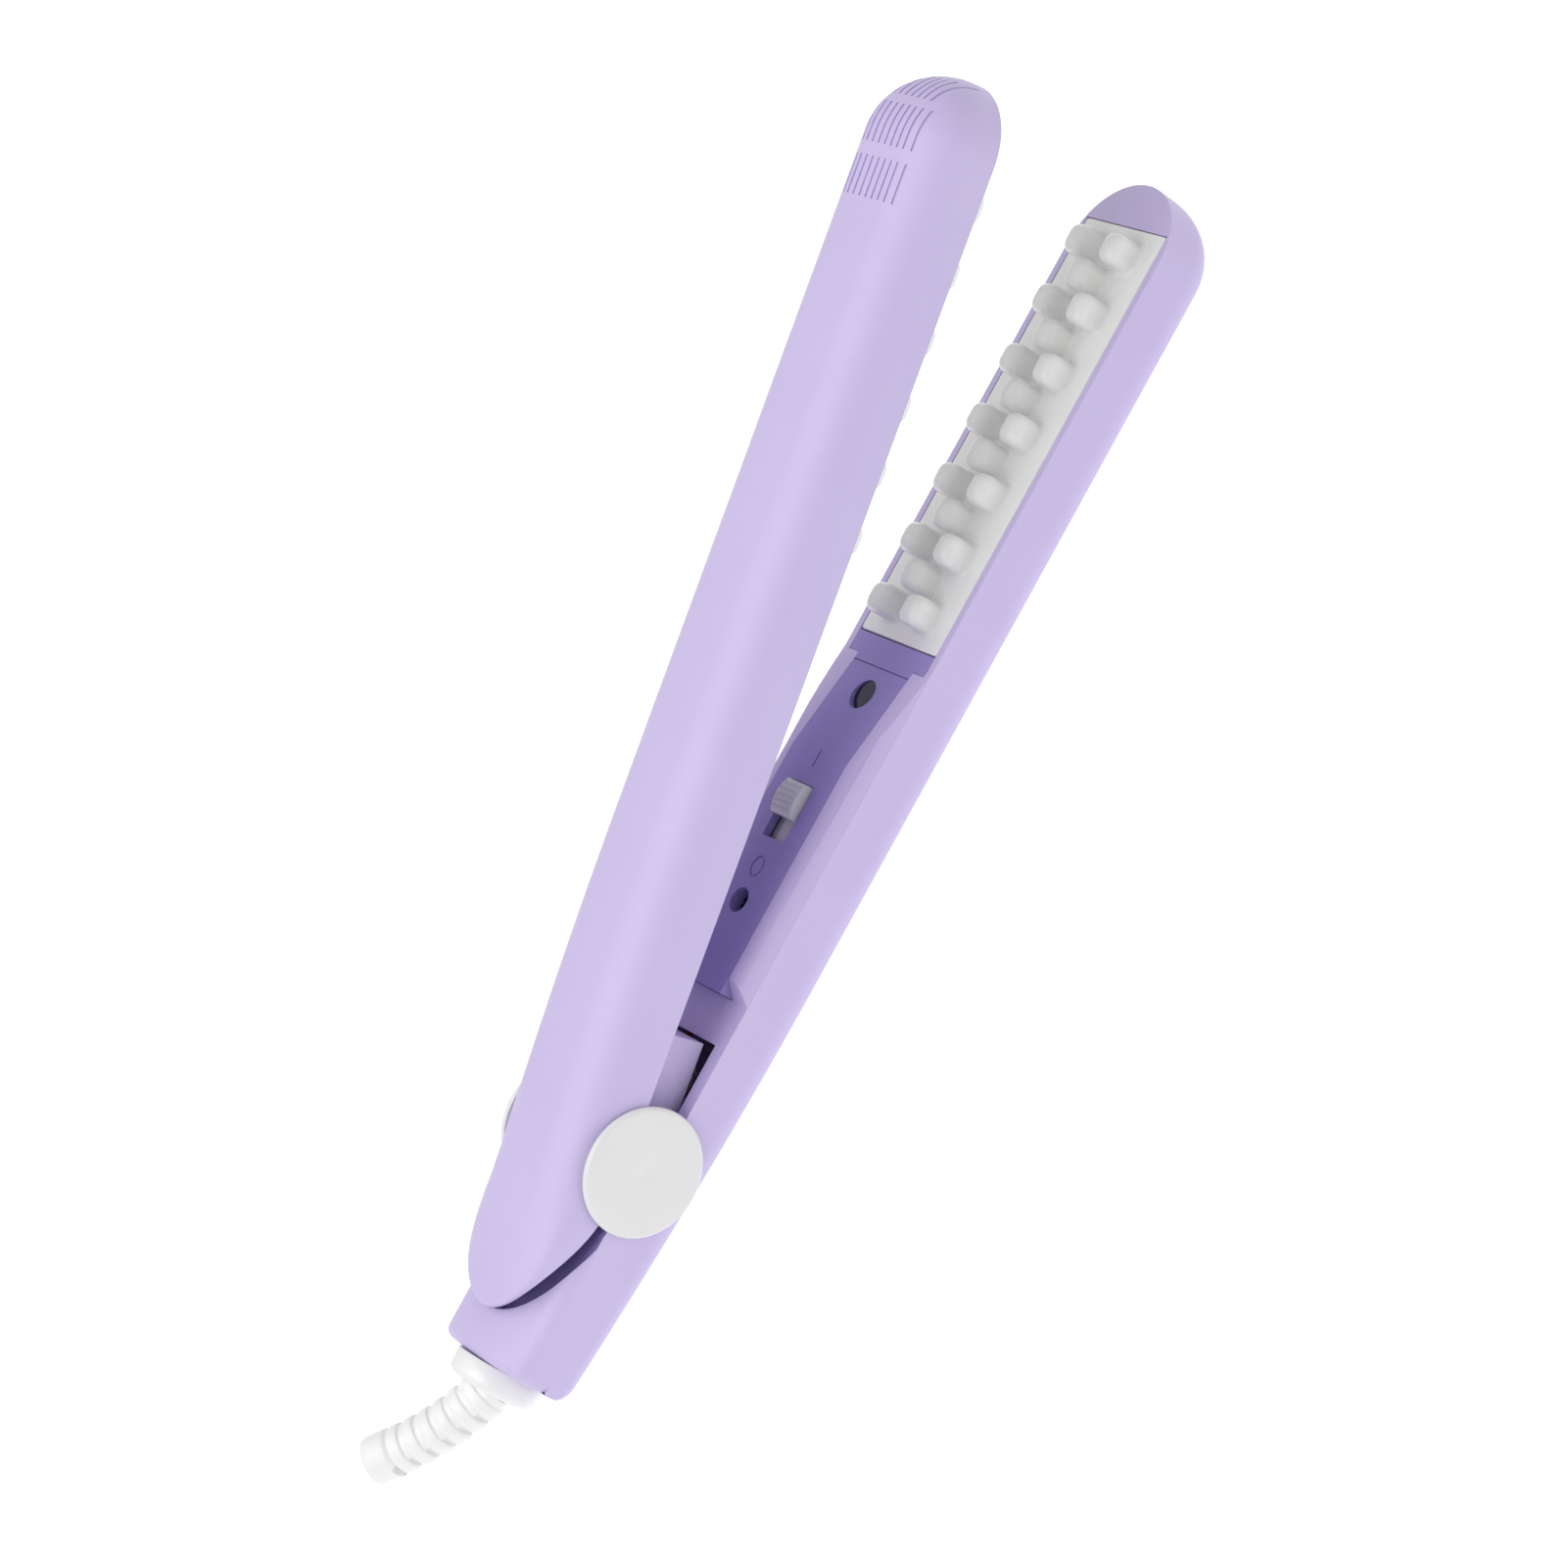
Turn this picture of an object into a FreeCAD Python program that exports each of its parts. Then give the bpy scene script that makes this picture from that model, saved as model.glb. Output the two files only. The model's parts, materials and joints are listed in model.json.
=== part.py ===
import FreeCAD, Part
import Sketcher
import math
import operator
import os
from types import SimpleNamespace

# Peg-plate hair crimper: two arms on one hinge pin, sprung open, with a swivel at the tail.
# Millimetres, +X from tail to tip, +Z up. The origin is the middle of the flat underside of the
# lower arm. Everything on the upper arm is drawn closed and then turned open about the hinge pin.

SIZES = {
    # both arms
    "arm_width": 30.0,
    "wall": 1.6,
    "tail_back": 150.0,
    "tip_front": 110.0,
    "rim_height": 15.0,
    "seam_height": 12.9,
    "bottom_corner": 7.5,
    "arm_nose": 14.5,
    "nose_level": 11.0,
    "flat_back": 55.0,
    "tail_lift": 5.0,
    "closed_gap": 7.0,
    "open_angle": 10.6,
    "skin_top": 30.0,
    # hinge
    "hinge_back": 104.2,
    "pin_radius": 1.5,
    "pin_length": 29.6,
    "bush_radius": 2.6,
    "bush_clearance": 0.06,
    "ear_radius": 8.0,
    "ear_inner": 11.6,
    "washer_radius": 3.6,
    "washer_thickness": 1.0,
    "cap_radius": 13.0,
    "cap_thickness": 1.6,
    "cap_lift": 0.3,
    "cap_boss_radius": 7.0,
    "cap_edge": 0.9,
    "block_half_width": 10.0,
    "block_bottom": 11.5,
    "block_front": -78.2,
    "block_back": -112.2,
    "block_round": 3.0,
    # lower frame and handle
    "platform_rise": 3.4,
    "platform_half_width": 9.6,
    "shoulder_drop": 3.6,
    "ramp_front": 5.0,
    "ramp_back": -18.0,
    "liner_back": -67.5,
    "liner_front": 8.3,
    "liner_thickness": 1.8,
    "liner_gap": 0.1,
    "tongue_half_width": 13.2,
    "tongue_back": 4.0,
    "notch_run": 3.4,
    "bay_front": -76.5,
    "bay_back": -113.5,
    "bay_half_width": 10.6,
    # tail of the lower arm
    "tail_side": 5.0,
    "tail_crown": 8.3,
    "cup_floor": 18.5,
    "cup_centre_back": 117.0,
    "cup_length": 23.5,
    "tail_wall": 3.0,
    # upper arm
    "upper_rise": 15.0,
    "upper_corner": 10.0,
    "bow_start": -40.0,
    "bow_drop": 4.4,
    "upper_tail_back": 139.0,
    "tail_plan": 21.5,
    "tail_round": 0.5,
    "nose_edge": 2.5,
    "tail_edge_rise": 10.0,
    "tail_edge_start": -109.0,
    "notch_radius": 8.6,
    "groove_width": 0.6,
    "groove_pitch": 2.1,
    "groove_depth": 0.6,
    "groove_length": 8.0,
    # peg plates
    "plate_start": 8.6,
    "plate_length": 92.2,
    "plate_width": 26.4,
    "plate_thickness": 2.0,
    "plate_gap": 0.15,
    "peg_pitch": 13.3,
    "peg_length": 6.3,
    "peg_width": 5.4,
    "row_pitch": 5.8,
    "peg_height": 6.5,
    "peg_round": 2.6,
    "peg_corner": 1.6,
    "plate_corner": 0.6,
    # heating
    "carrier_width": 25.2,
    "carrier_depth": 5.4,
    "carrier_wall": 3.0,
    "heater_length": 60.0,
    "heater_width": 15.0,
    "heater_thickness": 4.0,
    "mica_thickness": 0.5,
    "mica_margin": 1.0,
    "clamp_length": 22.0,
    "clamp_thickness": 0.8,
    "clamp_lip": 3.0,
    "fuse_radius": 1.5,
    "fuse_length": 9.0,
    "lead_radius": 0.8,
    "lead_offset": 10.5,
    "lead_height": 5.5,
    # switch and indicator
    "board_back": -62.0,
    "board_front": 0.5,
    "board_width": 17.0,
    "board_bottom": 9.4,
    "board_thickness": 1.6,
    "slot_back": -36.4,
    "slot_front": -24.2,
    "slot_half_width": 3.8,
    "knob_length": 7.3,
    "knob_rise": 2.3,
    "knob_gap": 0.25,
    "knob_round": 0.8,
    "slider_top": 16.45,
    "slider_thickness": 0.8,
    "slider_length": 24.0,
    "stem_height": 1.8,
    "stem_length": 2.4,
    "switch_body_length": 16.0,
    "switch_body_width": 9.0,
    "switch_body_height": 4.4,
    "switch_travel": 4.5,
    "indicator_back": 3.6,
    "indicator_radius": 3.25,
    "lens_thickness": 0.8,
    "lens_gap": 0.05,
    "lens_bottom": 14.7,
    "lamp_radius": 1.5,
    "lamp_height": 2.9,
    # screws
    "screw_back": 49.8,
    "screw_head_radius": 2.3,
    "screw_head_height": 1.4,
    "screw_recess_radius": 2.6,
    "screw_seat": 14.4,
    "screw_radius": 1.1,
    "screw_length": 8.0,
    "boss_radius": 3.4,
    "upper_screw_back": 20.0,
    "upper_screw_recess": 2.4,
    "seat_rise": 1.6,
    "upper_post_rise": 3.6,
    # return spring
    "spring_back": 86.0,
    "spring_radius": 3.3,
    "spring_wire": 0.45,
    "spring_bottom": 3.2,
    "spring_length": 10.3,
    "spring_turns": 6.0,
    # swivel and strain relief
    "swivel_height": 14.2,
    "hub_radius": 9.2,
    "hub_length": 5.2,
    "hub_round": 1.6,
    "hub_gap": 0.15,
    "neck_radius": 5.9,
    "neck_bore": 6.0,
    "flange_radius": 6.8,
    "flange_length": 1.3,
    "hub_nose_radius": 4.2,
    "hub_nose_length": 3.5,
    "chamber_radius": 7.2,
    "chamber_length": 5.4,
    "hub_bore": 3.0,
    "ring_radius": 4.7,
    "ring_width": 1.0,
    "ring_gap": 0.6,
    "brush_width": 3.0,
    "brush_bottom": 6.6,
    "brush_seat_width": 4.4,
    "boot_radius": 65.0,
    "boot_start_angle": 22.0,
    "boot_turn": 20.0,
    "boot_root_turn": 3.0,
    "boot_core_radius": 3.9,
    "boot_ring_radius": 5.0,
    "boot_ring_width": 2.0,
    "boot_collar_length": 5.5,
    "boot_roll": 70.0,
    "cord_bore": 3.0,
    "boot_rings": 6.0,
}

doc = FreeCAD.newDocument("hair_crimper")
sheet = doc.addObject("Spreadsheet::Sheet", "Sizes")
for row, (alias, value) in enumerate(SIZES.items(), start=1):
    sheet.set(f"A{row}", alias)
    sheet.set(f"B{row}", str(value))
    sheet.setAlias(f"B{row}", alias)
doc.recompute()


class Size(float):
    """A number that remembers the sheet formula it was worked out with."""

    def __new__(cls, value, formula):
        size = super().__new__(cls, value)
        size.formula = formula
        return size

    def __neg__(self):
        return Size(-float(self), f"(-{self.formula})")


def formula_of(value):
    return value.formula if isinstance(value, Size) else f"({float(value)})"


def arithmetic(sign, work, swapped):
    def method(self, other):
        left, right = (other, self) if swapped else (self, other)
        text = f"({formula_of(left)} {sign} {formula_of(right)})"
        return Size(work(float(left), float(right)), text)

    return method


for word, sign, work in (
    ("add", "+", operator.add),
    ("sub", "-", operator.sub),
    ("mul", "*", operator.mul),
    ("truediv", "/", operator.truediv),
):
    setattr(Size, f"__{word}__", arithmetic(sign, work, False))
    setattr(Size, f"__r{word}__", arithmetic(sign, work, True))

s = SimpleNamespace(**{a: Size(float(sheet.get(a)), f"Sizes.{a}") for a in SIZES})

half_width = s.arm_width / 2
tail = -s.tail_back
hinge_x = -s.hinge_back
hinge_z = s.rim_height + s.closed_gap / 2
upper_rim = s.rim_height + s.closed_gap
platform_top = s.rim_height + s.platform_rise
platform_bottom = upper_rim - s.platform_rise
plate_front = s.plate_start + s.plate_length
switch_middle = (s.slot_back + s.slot_front) / 2

LOWER = 1
UPPER = -1
AXIS_TURNS = {
    "X": FreeCAD.Rotation(FreeCAD.Vector(0, 1, 0), 90),
    "Y": FreeCAD.Rotation(FreeCAD.Vector(1, 0, 0), -90),
    "Z": FreeCAD.Rotation(),
}
parts = []


def vector(x, y, z):
    return FreeCAD.Vector(float(x), float(y), float(z))


def bind(obj, **values):
    """Bind each named property to the formula of its value."""
    for name, value in values.items():
        obj.setExpression(name, formula_of(value))


def place(obj, x=0, y=0, z=0):
    for letter, value in zip("xyz", (x, y, z)):
        obj.setExpression(f"Placement.Base.{letter}", formula_of(value))


def box(name, start, size):
    obj = doc.addObject("Part::Box", name)
    bind(obj, Length=size[0], Width=size[1], Height=size[2])
    place(obj, *start)
    return obj


def centred_box(name, back, front, width, bottom, top):
    """A box from back to front and bottom to top, centred on Y."""
    return box(name, (back, -(width / 2), bottom), (front - back, width, top - bottom))


def rod(name, axis, start, radius, length):
    """A cylinder that runs from start along an axis."""
    obj = doc.addObject("Part::Cylinder", name)
    bind(obj, Radius=radius, Height=length)
    obj.Placement.Rotation = AXIS_TURNS[axis]
    place(obj, *start)
    return obj


def cross_rod(name, x, z, radius, half_length):
    """A cylinder along Y, centred on Y."""
    return rod(name, "Y", (x, -half_length, z), radius, 2 * half_length)


def fuse(name, *pieces):
    obj = doc.addObject("Part::MultiFuse", name)
    obj.Shapes = list(pieces)
    return obj


def common(name, *pieces):
    obj = doc.addObject("Part::MultiCommon", name)
    obj.Shapes = list(pieces)
    return obj


def cut(name, base, *tools):
    obj = doc.addObject("Part::Cut", name)
    obj.Base = base
    obj.Tool = tools[0] if len(tools) == 1 else fuse(f"{name}_tools", *tools)
    return obj


def group(name, *pieces):
    """Separate solids that share one node."""
    obj = doc.addObject("Part::Compound", name)
    obj.Links = list(pieces)
    return obj


def shaped(name, shape):
    obj = doc.addObject("Part::Feature", name)
    obj.Shape = shape
    return obj


def part(label, obj, on_upper_arm=False):
    """Name a finished sub-part, and open it with the upper arm if it rides there."""
    doc.recompute()
    obj.Label = label
    if on_upper_arm:
        if obj.TypeId in ("Part::Box", "Part::Cylinder", "PartDesign::Body"):
            obj.Label = f"{label}_closed"
            obj = group(label, obj)
            obj.Label = label
        centre = vector(hinge_x, 0, hinge_z)
        turn = FreeCAD.Rotation(FreeCAD.Vector(0, 1, 0), -float(s.open_angle))
        opening = FreeCAD.Placement(FreeCAD.Vector(), turn, centre)
        obj.Placement = opening.multiply(obj.Placement)
    parts.append(obj)
    return obj


def prism(name, corners, plane, start, length):
    """A closed outline of (a, b) corners pushed along the plane's normal.

    A corner may be ("arc", through, end): a round stretch to end.
    """
    to_space = {"XZ": lambda a, b: vector(a, start, b), "YZ": lambda a, b: vector(start, a, b)}[plane]
    along = {"XZ": vector(0, length, 0), "YZ": vector(length, 0, 0)}[plane]
    first = to_space(*corners[0])
    here = first
    edges = []
    for corner in corners[1:]:
        if corner[0] == "arc":
            end = to_space(*corner[2])
            edges.append(Part.Arc(here, to_space(*corner[1]), end).toShape())
        else:
            end = to_space(*corner)
            edges.append(Part.makeLine(here, end))
        here = end
    edges.append(Part.makeLine(here, first))
    return shaped(name, Part.Face(Part.Wire(edges)).extrude(along))


# ---------------------------------------------------------------- body and sketch tools


def origin_plane(body, role):
    return next(f for f in body.Origin.OriginFeatures if f.Role == role)


def outline(body, role, corners):
    """A sketch on an origin plane: a closed polygon with every corner bound to the sheet."""
    sketch = body.newObject("Sketcher::SketchObject", "Outline")
    sketch.AttachmentSupport = (origin_plane(body, role), "")
    sketch.MapMode = "FlatFace"
    count = len(corners)
    points = [vector(a, b, 0) for a, b in corners]
    for i in range(count):
        sketch.addGeometry(Part.LineSegment(points[i], points[(i + 1) % count]), False)
    for i in range(count):
        sketch.addConstraint(Sketcher.Constraint("Coincident", i, 2, (i + 1) % count, 1))
        for kind, value in zip(("DistanceX", "DistanceY"), corners[i]):
            fixed = sketch.addConstraint(Sketcher.Constraint(kind, -1, 1, i, 1, float(value)))
            if isinstance(value, Size):
                sketch.setExpression(f"Constraints[{fixed}]", value.formula)
    return sketch


def turned_body(name, corners, role="XZ_Plane", axis="H_Axis"):
    """A body turned from a half outline about one axis of its sketch."""
    body = doc.addObject("PartDesign::Body", name)
    sketch = outline(body, role, corners)
    turn = body.newObject("PartDesign::Revolution", "Turning")
    turn.Profile = sketch
    turn.ReferenceAxis = (sketch, [axis])
    turn.Angle = 360
    doc.recompute()
    return body


def padded_body(name, corners, length, role="XY_Plane"):
    body = doc.addObject("PartDesign::Body", name)
    sketch = outline(body, role, corners)
    pad = body.newObject("PartDesign::Pad", "Pad")
    pad.Profile = sketch
    pad.setExpression("Length", formula_of(length))
    doc.recompute()
    return body


def round_edges(body, radius, chosen):
    """Fillet the edges of the body's last feature that the test chosen(edge) picks."""
    doc.recompute()
    last = body.Tip
    names = [f"Edge{i}" for i, e in enumerate(last.Shape.Edges, start=1) if chosen(e)]
    fillet = body.newObject("PartDesign::Fillet", "Rounding")
    fillet.Base = (last, names)
    fillet.setExpression("Radius", formula_of(radius))
    doc.recompute()
    return fillet


# ---------------------------------------------------------------- the arms' outer skins


def nose_share(x, inset):
    """1 along the arm, falling to 0 at the tip of the elliptical nose."""
    ahead = max(0.0, x - (s.tip_front - s.arm_nose))
    return math.sqrt(max(0.0, 1 - (ahead / (s.arm_nose - inset)) ** 2))


def lower_section(x, inset):
    """Half width, bottom, top and bottom corner radius of the lower arm at x."""
    share = nose_share(x, inset)
    wide = (half_width - inset) * share
    run = max(0.0, -s.flat_back - x)
    bottom = inset + s.tail_lift * (run / (s.tail_back - s.flat_back)) ** 2
    bottom = s.nose_level - (s.nose_level - bottom) * share
    corner = min(s.bottom_corner - inset, 0.9 * wide, 0.9 * (s.seam_height - bottom))
    return wide, bottom, float(s.skin_top), corner


def upper_section(x, inset):
    """Half width, bottom, top and top corner radius of the upper arm at x, arm closed."""
    share = nose_share(x, inset)
    behind = max(0.0, s.tail_plan - s.upper_tail_back - x) / (s.tail_plan - inset)
    wide = (half_width - inset) * share * math.sqrt(max(0.0, 1 - behind**2))
    run = max(0.0, s.bow_start - x) / (s.bow_start + s.upper_tail_back)
    top = s.upper_rise - inset - s.bow_drop * run**2 - s.tail_round * behind**4
    top = s.nose_edge + (top - s.nose_edge) * share
    corner = min(s.upper_corner - inset, 0.9 * wide, 0.9 * top)
    return wide, -10.0, float(top), corner


def section_wire(x, section, corner_side):
    """The closed section at x: two rounded corners below (LOWER) or above (UPPER)."""
    wide, low, high, corner = section
    base, far = (high, low) if corner_side == LOWER else (low, high)
    inward = corner if corner_side == LOWER else -corner
    lean = corner * (1 - math.sqrt(0.5))
    tilt = lean if corner_side == LOWER else -lean
    side = far + inward
    points = [
        vector(x, -wide, base),
        vector(x, -wide, side),
        vector(x, -wide + lean, far + tilt),
        vector(x, -wide + corner, far),
        vector(x, wide - corner, far),
        vector(x, wide - lean, far + tilt),
        vector(x, wide, side),
        vector(x, wide, base),
    ]
    edges = [
        Part.makeLine(points[0], points[1]),
        Part.Arc(points[1], points[2], points[3]).toShape(),
        Part.makeLine(points[3], points[4]),
        Part.Arc(points[4], points[5], points[6]).toShape(),
        Part.makeLine(points[6], points[7]),
        Part.makeLine(points[7], points[0]),
    ]
    return Part.Wire(edges)


def eased(start, end, count, first=0.0, last=85.0):
    """Places from start to end that crowd together at the end, as round a nose."""
    low, high = math.sin(math.radians(first)), math.sin(math.radians(last))
    for i in range(count):
        angle = math.radians(first + (last - first) * i / (count - 1))
        yield start + (end - start) * (math.sin(angle) - low) / (high - low)


def evenly(start, end, count):
    return [start + (end - start) * i / (count - 1) for i in range(count)]


def skin(section_at, corner_side, inset, stretches):
    """Lofts end to end, one through the sections of each stretch of the arm."""
    lofts = []
    for places in stretches:
        wires = [section_wire(float(x), section_at(float(x), inset), corner_side) for x in places]
        lofts.append(Part.makeLoft(wires, True, False))
    return lofts[0].fuse(lofts[1:])


def nose_places(inset):
    return list(eased(s.tip_front - s.arm_nose, s.tip_front - inset - 0.05, 10))


def lower_skin(inset, back):
    nose = s.tip_front - s.arm_nose
    curved = evenly(back, -s.flat_back, 6)
    return skin(lower_section, LOWER, inset, [curved, [-s.flat_back, nose], nose_places(inset)])


def upper_skin(inset, back):
    nose = s.tip_front - s.arm_nose
    rounding = s.tail_plan - s.upper_tail_back
    stretches = [[s.bow_start, nose], nose_places(inset)]
    if back < rounding:
        stretches.append(list(eased(rounding, back, 9))[::-1])
        back = rounding
    if back < s.bow_start:
        stretches.append(evenly(back, s.bow_start, 6))
    solid = skin(upper_section, UPPER, inset, stretches)
    solid.translate(vector(0, 0, upper_rim))
    return solid


# ---------------------------------------------------------------- lower arm casing


def make_lower_shell():
    outer = shaped("lower_skin", lower_skin(0.0, float(tail)))
    hollow = shaped("lower_hollow", lower_skin(float(s.wall), float(tail + s.tail_wall)))
    above = centred_box("above_seam", tail - 5, s.tip_front + 5, 40, s.seam_height, 40)
    bore = rod("hub_bore", "X", (tail - 1, 0, s.swivel_height), s.neck_bore, s.tail_wall + 2)
    pan = cut("pan", outer, hollow, above, bore)
    post = rod("screw_post", "Z", (-s.screw_back, 0, s.wall), s.boss_radius, s.board_bottom - s.wall)
    spigot_height = s.spring_bottom - s.wall + 2
    seat = rod("spring_seat", "Z", (-s.spring_back, 0, s.wall / 2), 4.6, s.spring_bottom - s.wall / 2)
    spigot = rod("spring_spigot", "Z", (-s.spring_back, 0, s.wall), 2.4, spigot_height)
    brush_back, brush_front = brush_span(0)[0], brush_span(1)[1]
    brush_seat = centred_box(
        "brush_seat",
        brush_back - 0.4,
        brush_front + 0.4,
        s.brush_seat_width,
        s.tail_lift,
        s.brush_bottom,
    )
    pilot = rod("screw_pilot", "Z", (-s.screw_back, 0, s.wall + 1), s.screw_radius, s.seam_height)
    raw = fuse("pan_with_posts", pan, post, seat, spigot, brush_seat)
    part("lower_shell", cut("lower_shell", raw, pilot))
    return outer


def brush_span(i):
    """Back and front of contact brush i, which is a little narrower than its slip ring."""
    back = tail + s.tail_wall + s.hub_gap + s.flange_length + s.ring_gap
    back = back + i * (s.ring_width + s.ring_gap)
    return back + 0.1, back + s.ring_width - 0.1


def side_profile():
    """The lower frame's height along the arm, up to the handle platform."""
    notch_front = s.liner_back + s.notch_run
    return [
        (tail, s.seam_height),
        (s.tip_front, s.seam_height),
        (s.tip_front, s.rim_height),
        (s.ramp_front, s.rim_height),
        (s.ramp_back, platform_top),
        (notch_front, platform_top),
        (s.liner_back, s.rim_height),
        (tail, s.rim_height),
    ]


def shoulder_profile():
    """Half of the handle's section: a flat platform that rounds down to the side."""
    drop = platform_top - s.shoulder_drop
    return [
        (-half_width, s.seam_height),
        (-half_width, drop),
        (
            "arc",
            (-12.9, platform_top - 0.95),
            (-s.platform_half_width, platform_top),
        ),
        (s.platform_half_width, platform_top),
        ("arc", (12.9, platform_top - 0.95), (half_width, drop)),
        (half_width, s.seam_height),
    ]


def tail_profile():
    """The tail's section: low sides and a crowned top."""
    side = s.rim_height + s.tail_side
    crown = s.rim_height + s.tail_crown
    return [
        (-half_width, s.seam_height),
        (-half_width, side - 2),
        ("arc", (-half_width + 0.9, side - 0.3), (-half_width + 3, side + 1.1)),
        ("arc", (0, crown), (half_width - 3, side + 1.1)),
        ("arc", (half_width - 0.9, side - 0.3), (half_width, side - 2)),
        (half_width, s.seam_height),
    ]


def make_lower_frame(outer):
    deck = prism("deck", side_profile(), "XZ", -half_width, s.arm_width)
    bend = prism("shoulders", shoulder_profile(), "YZ", s.liner_back - 2, plate_front + 2)
    low_box = centred_box("low_deck", tail, s.tip_front, s.arm_width, s.seam_height, s.rim_height)
    handle = common("handle_deck", deck, bend)
    cup_front = -s.cup_centre_back
    dome = prism("tail_dome", tail_profile(), "YZ", tail, s.tail_back - s.cup_centre_back)
    ledge = centred_box("tail_ledge", cup_front - 1, hinge_x, s.arm_width, s.seam_height, s.cup_floor)
    ears = fuse(
        "ears",
        cross_rod("ear_round", hinge_x, hinge_z, s.ear_radius, half_width),
        centred_box(
            "ear_stem",
            hinge_x - s.ear_radius,
            hinge_x + s.ear_radius,
            s.arm_width,
            s.seam_height,
            hinge_z,
        ),
    )
    raw = fuse("frame_raw", low_box, handle, dome, ledge, ears)
    body = common("frame_outer", raw, outer)
    chamber_start = (tail + s.tail_wall, 0, s.swivel_height)
    hollows = [
        shaped("cup", cup_shape()),
        centred_box("ear_gap", -s.cup_centre_back, s.bay_front, 2 * s.ear_inner, s.seam_height, 40),
        centred_box("bay", s.bay_back, s.bay_front, 2 * s.bay_half_width, 0, 40),
        centred_box(
            "liner_bay",
            s.liner_back,
            s.plate_start - s.plate_gap,
            2 * s.platform_half_width,
            0,
            40,
        ),
        centred_box(
            "tongue_bay",
            s.tongue_back,
            s.plate_start,
            2 * (s.tongue_half_width + s.liner_gap),
            0,
            40,
        ),
        centred_box(
            "plate_bay",
            s.plate_start - s.plate_gap,
            plate_front + s.plate_gap,
            s.plate_width + 2 * s.plate_gap,
            0,
            40,
        ),
        centred_box("below_seam", tail - 1, s.tip_front + 1, s.arm_width + 2, 0, s.seam_height),
        centred_box(
            "tail_hollow",
            tail + s.tail_wall,
            -s.cup_centre_back,
            2 * s.bay_half_width,
            0,
            s.cup_floor - s.wall,
        ),
        rod("hub_clearance", "X", (tail - 1, 0, s.swivel_height), s.neck_bore, s.tail_wall + 2),
        rod("swivel_chamber", "X", chamber_start, s.chamber_radius, s.chamber_length),
        cross_rod("pin_bore", hinge_x, hinge_z, s.pin_radius, half_width + 1),
    ]
    part("lower_frame", cut("lower_frame", body, *hollows))


def cup_shape():
    """An upright elliptical well that clears the upper arm's tail."""
    wide = float(half_width + 0.05)
    centre = vector(-s.cup_centre_back, 0, s.cup_floor)
    ellipse = Part.Ellipse(centre, float(s.cup_length), wide).toShape()
    return Part.Face(Part.Wire([ellipse])).extrude(vector(0, 0, 15))


def make_handle_liner():
    gap = s.liner_gap
    under = s.liner_thickness
    corners = [
        (s.liner_front, s.rim_height - under),
        (s.liner_front, s.rim_height),
        (s.ramp_front, s.rim_height),
        (s.ramp_back, platform_top),
        (s.liner_back + gap, platform_top),
        (s.liner_back + gap, s.rim_height - under),
        (s.liner_back + 2, s.rim_height - under),
        (s.liner_back + 2, platform_top - under),
        (s.ramp_back, platform_top - under),
        (s.ramp_front, s.rim_height - under),
    ]
    width = 2 * (s.platform_half_width - gap)
    skin_plate = prism("liner_plate", corners, "XZ", -width / 2, width)
    tongue = centred_box(
        "liner_tongue",
        s.tongue_back + gap,
        s.liner_front,
        2 * s.tongue_half_width,
        s.rim_height - under,
        s.rim_height,
    )
    screw_x = -s.screw_back
    boss = rod("liner_boss", "Z", (screw_x, 0, s.screw_seat - 1.4), s.boss_radius, 4.0)
    hollows = [
        rod("lamp_hole", "Z", (-s.indicator_back, 0, 10), s.indicator_radius, 10),
        centred_box("slot", s.slot_back, s.slot_front, 2 * s.slot_half_width, 10, 20),
        rod("recess", "Z", (screw_x, 0, s.screw_seat), s.screw_recess_radius, 6),
        rod("liner_hole", "Z", (screw_x, 0, 10), s.screw_radius, 6),
    ]
    raw = fuse("liner_raw", skin_plate, tongue, boss)
    part("handle_liner", cut("handle_liner", raw, *hollows))


# ---------------------------------------------------------------- peg plates and heating


def level(side, depth):
    """Height of a face that lies depth below a plate's working face, on either arm."""
    return s.rim_height - depth if side == LOWER else upper_rim + depth


def layer(name, side, back, front, width, depth, thickness, middle=0):
    """A slab whose near face is depth behind the plate's working face."""
    bottom = level(side, depth + thickness if side == LOWER else depth)
    return box(name, (back, middle - width / 2, bottom), (front - back, width, thickness))


def peg_shape(side):
    peg = Part.makeBox(
        float(s.peg_length),
        float(s.peg_width),
        float(s.peg_height + 1),
        vector(-s.peg_length / 2, -s.peg_width / 2, -1),
    )
    upright = [e for e in peg.Edges if e.BoundBox.ZLength > 1]
    peg = peg.makeFillet(float(s.peg_corner), upright)
    rim = [e for e in peg.Edges if e.BoundBox.ZMin > s.peg_height - 0.01]
    peg = peg.makeFillet(float(s.peg_round), rim)
    if side == UPPER:
        peg.rotate(vector(0, 0, 0), vector(1, 0, 0), 180)
    return peg


def make_plate(label, side):
    slab_bottom = level(LOWER, s.plate_thickness) if side == LOWER else upper_rim
    slab = Part.makeBox(
        float(s.plate_length),
        float(s.plate_width),
        float(s.plate_thickness),
        vector(s.plate_start, -s.plate_width / 2, slab_bottom),
    )
    edges = [e for e in slab.Edges if e.BoundBox.ZLength > 1]
    slab = slab.makeFillet(float(s.plate_corner), edges)
    middle = s.plate_start + s.plate_length / 2
    pegs = []
    for row in (-1, 0, 1):
        long_row = (row != 0) == (side == LOWER)
        count = 7 if long_row else 6
        for i in range(count):
            x = middle + (i - (count - 1) / 2) * s.peg_pitch
            peg = peg_shape(side)
            peg.translate(vector(x, row * s.row_pitch, level(side, 0)))
            pegs.append(peg)
    part(label, shaped(label, slab.fuse(pegs).removeSplitter()), side == UPPER)


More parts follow.
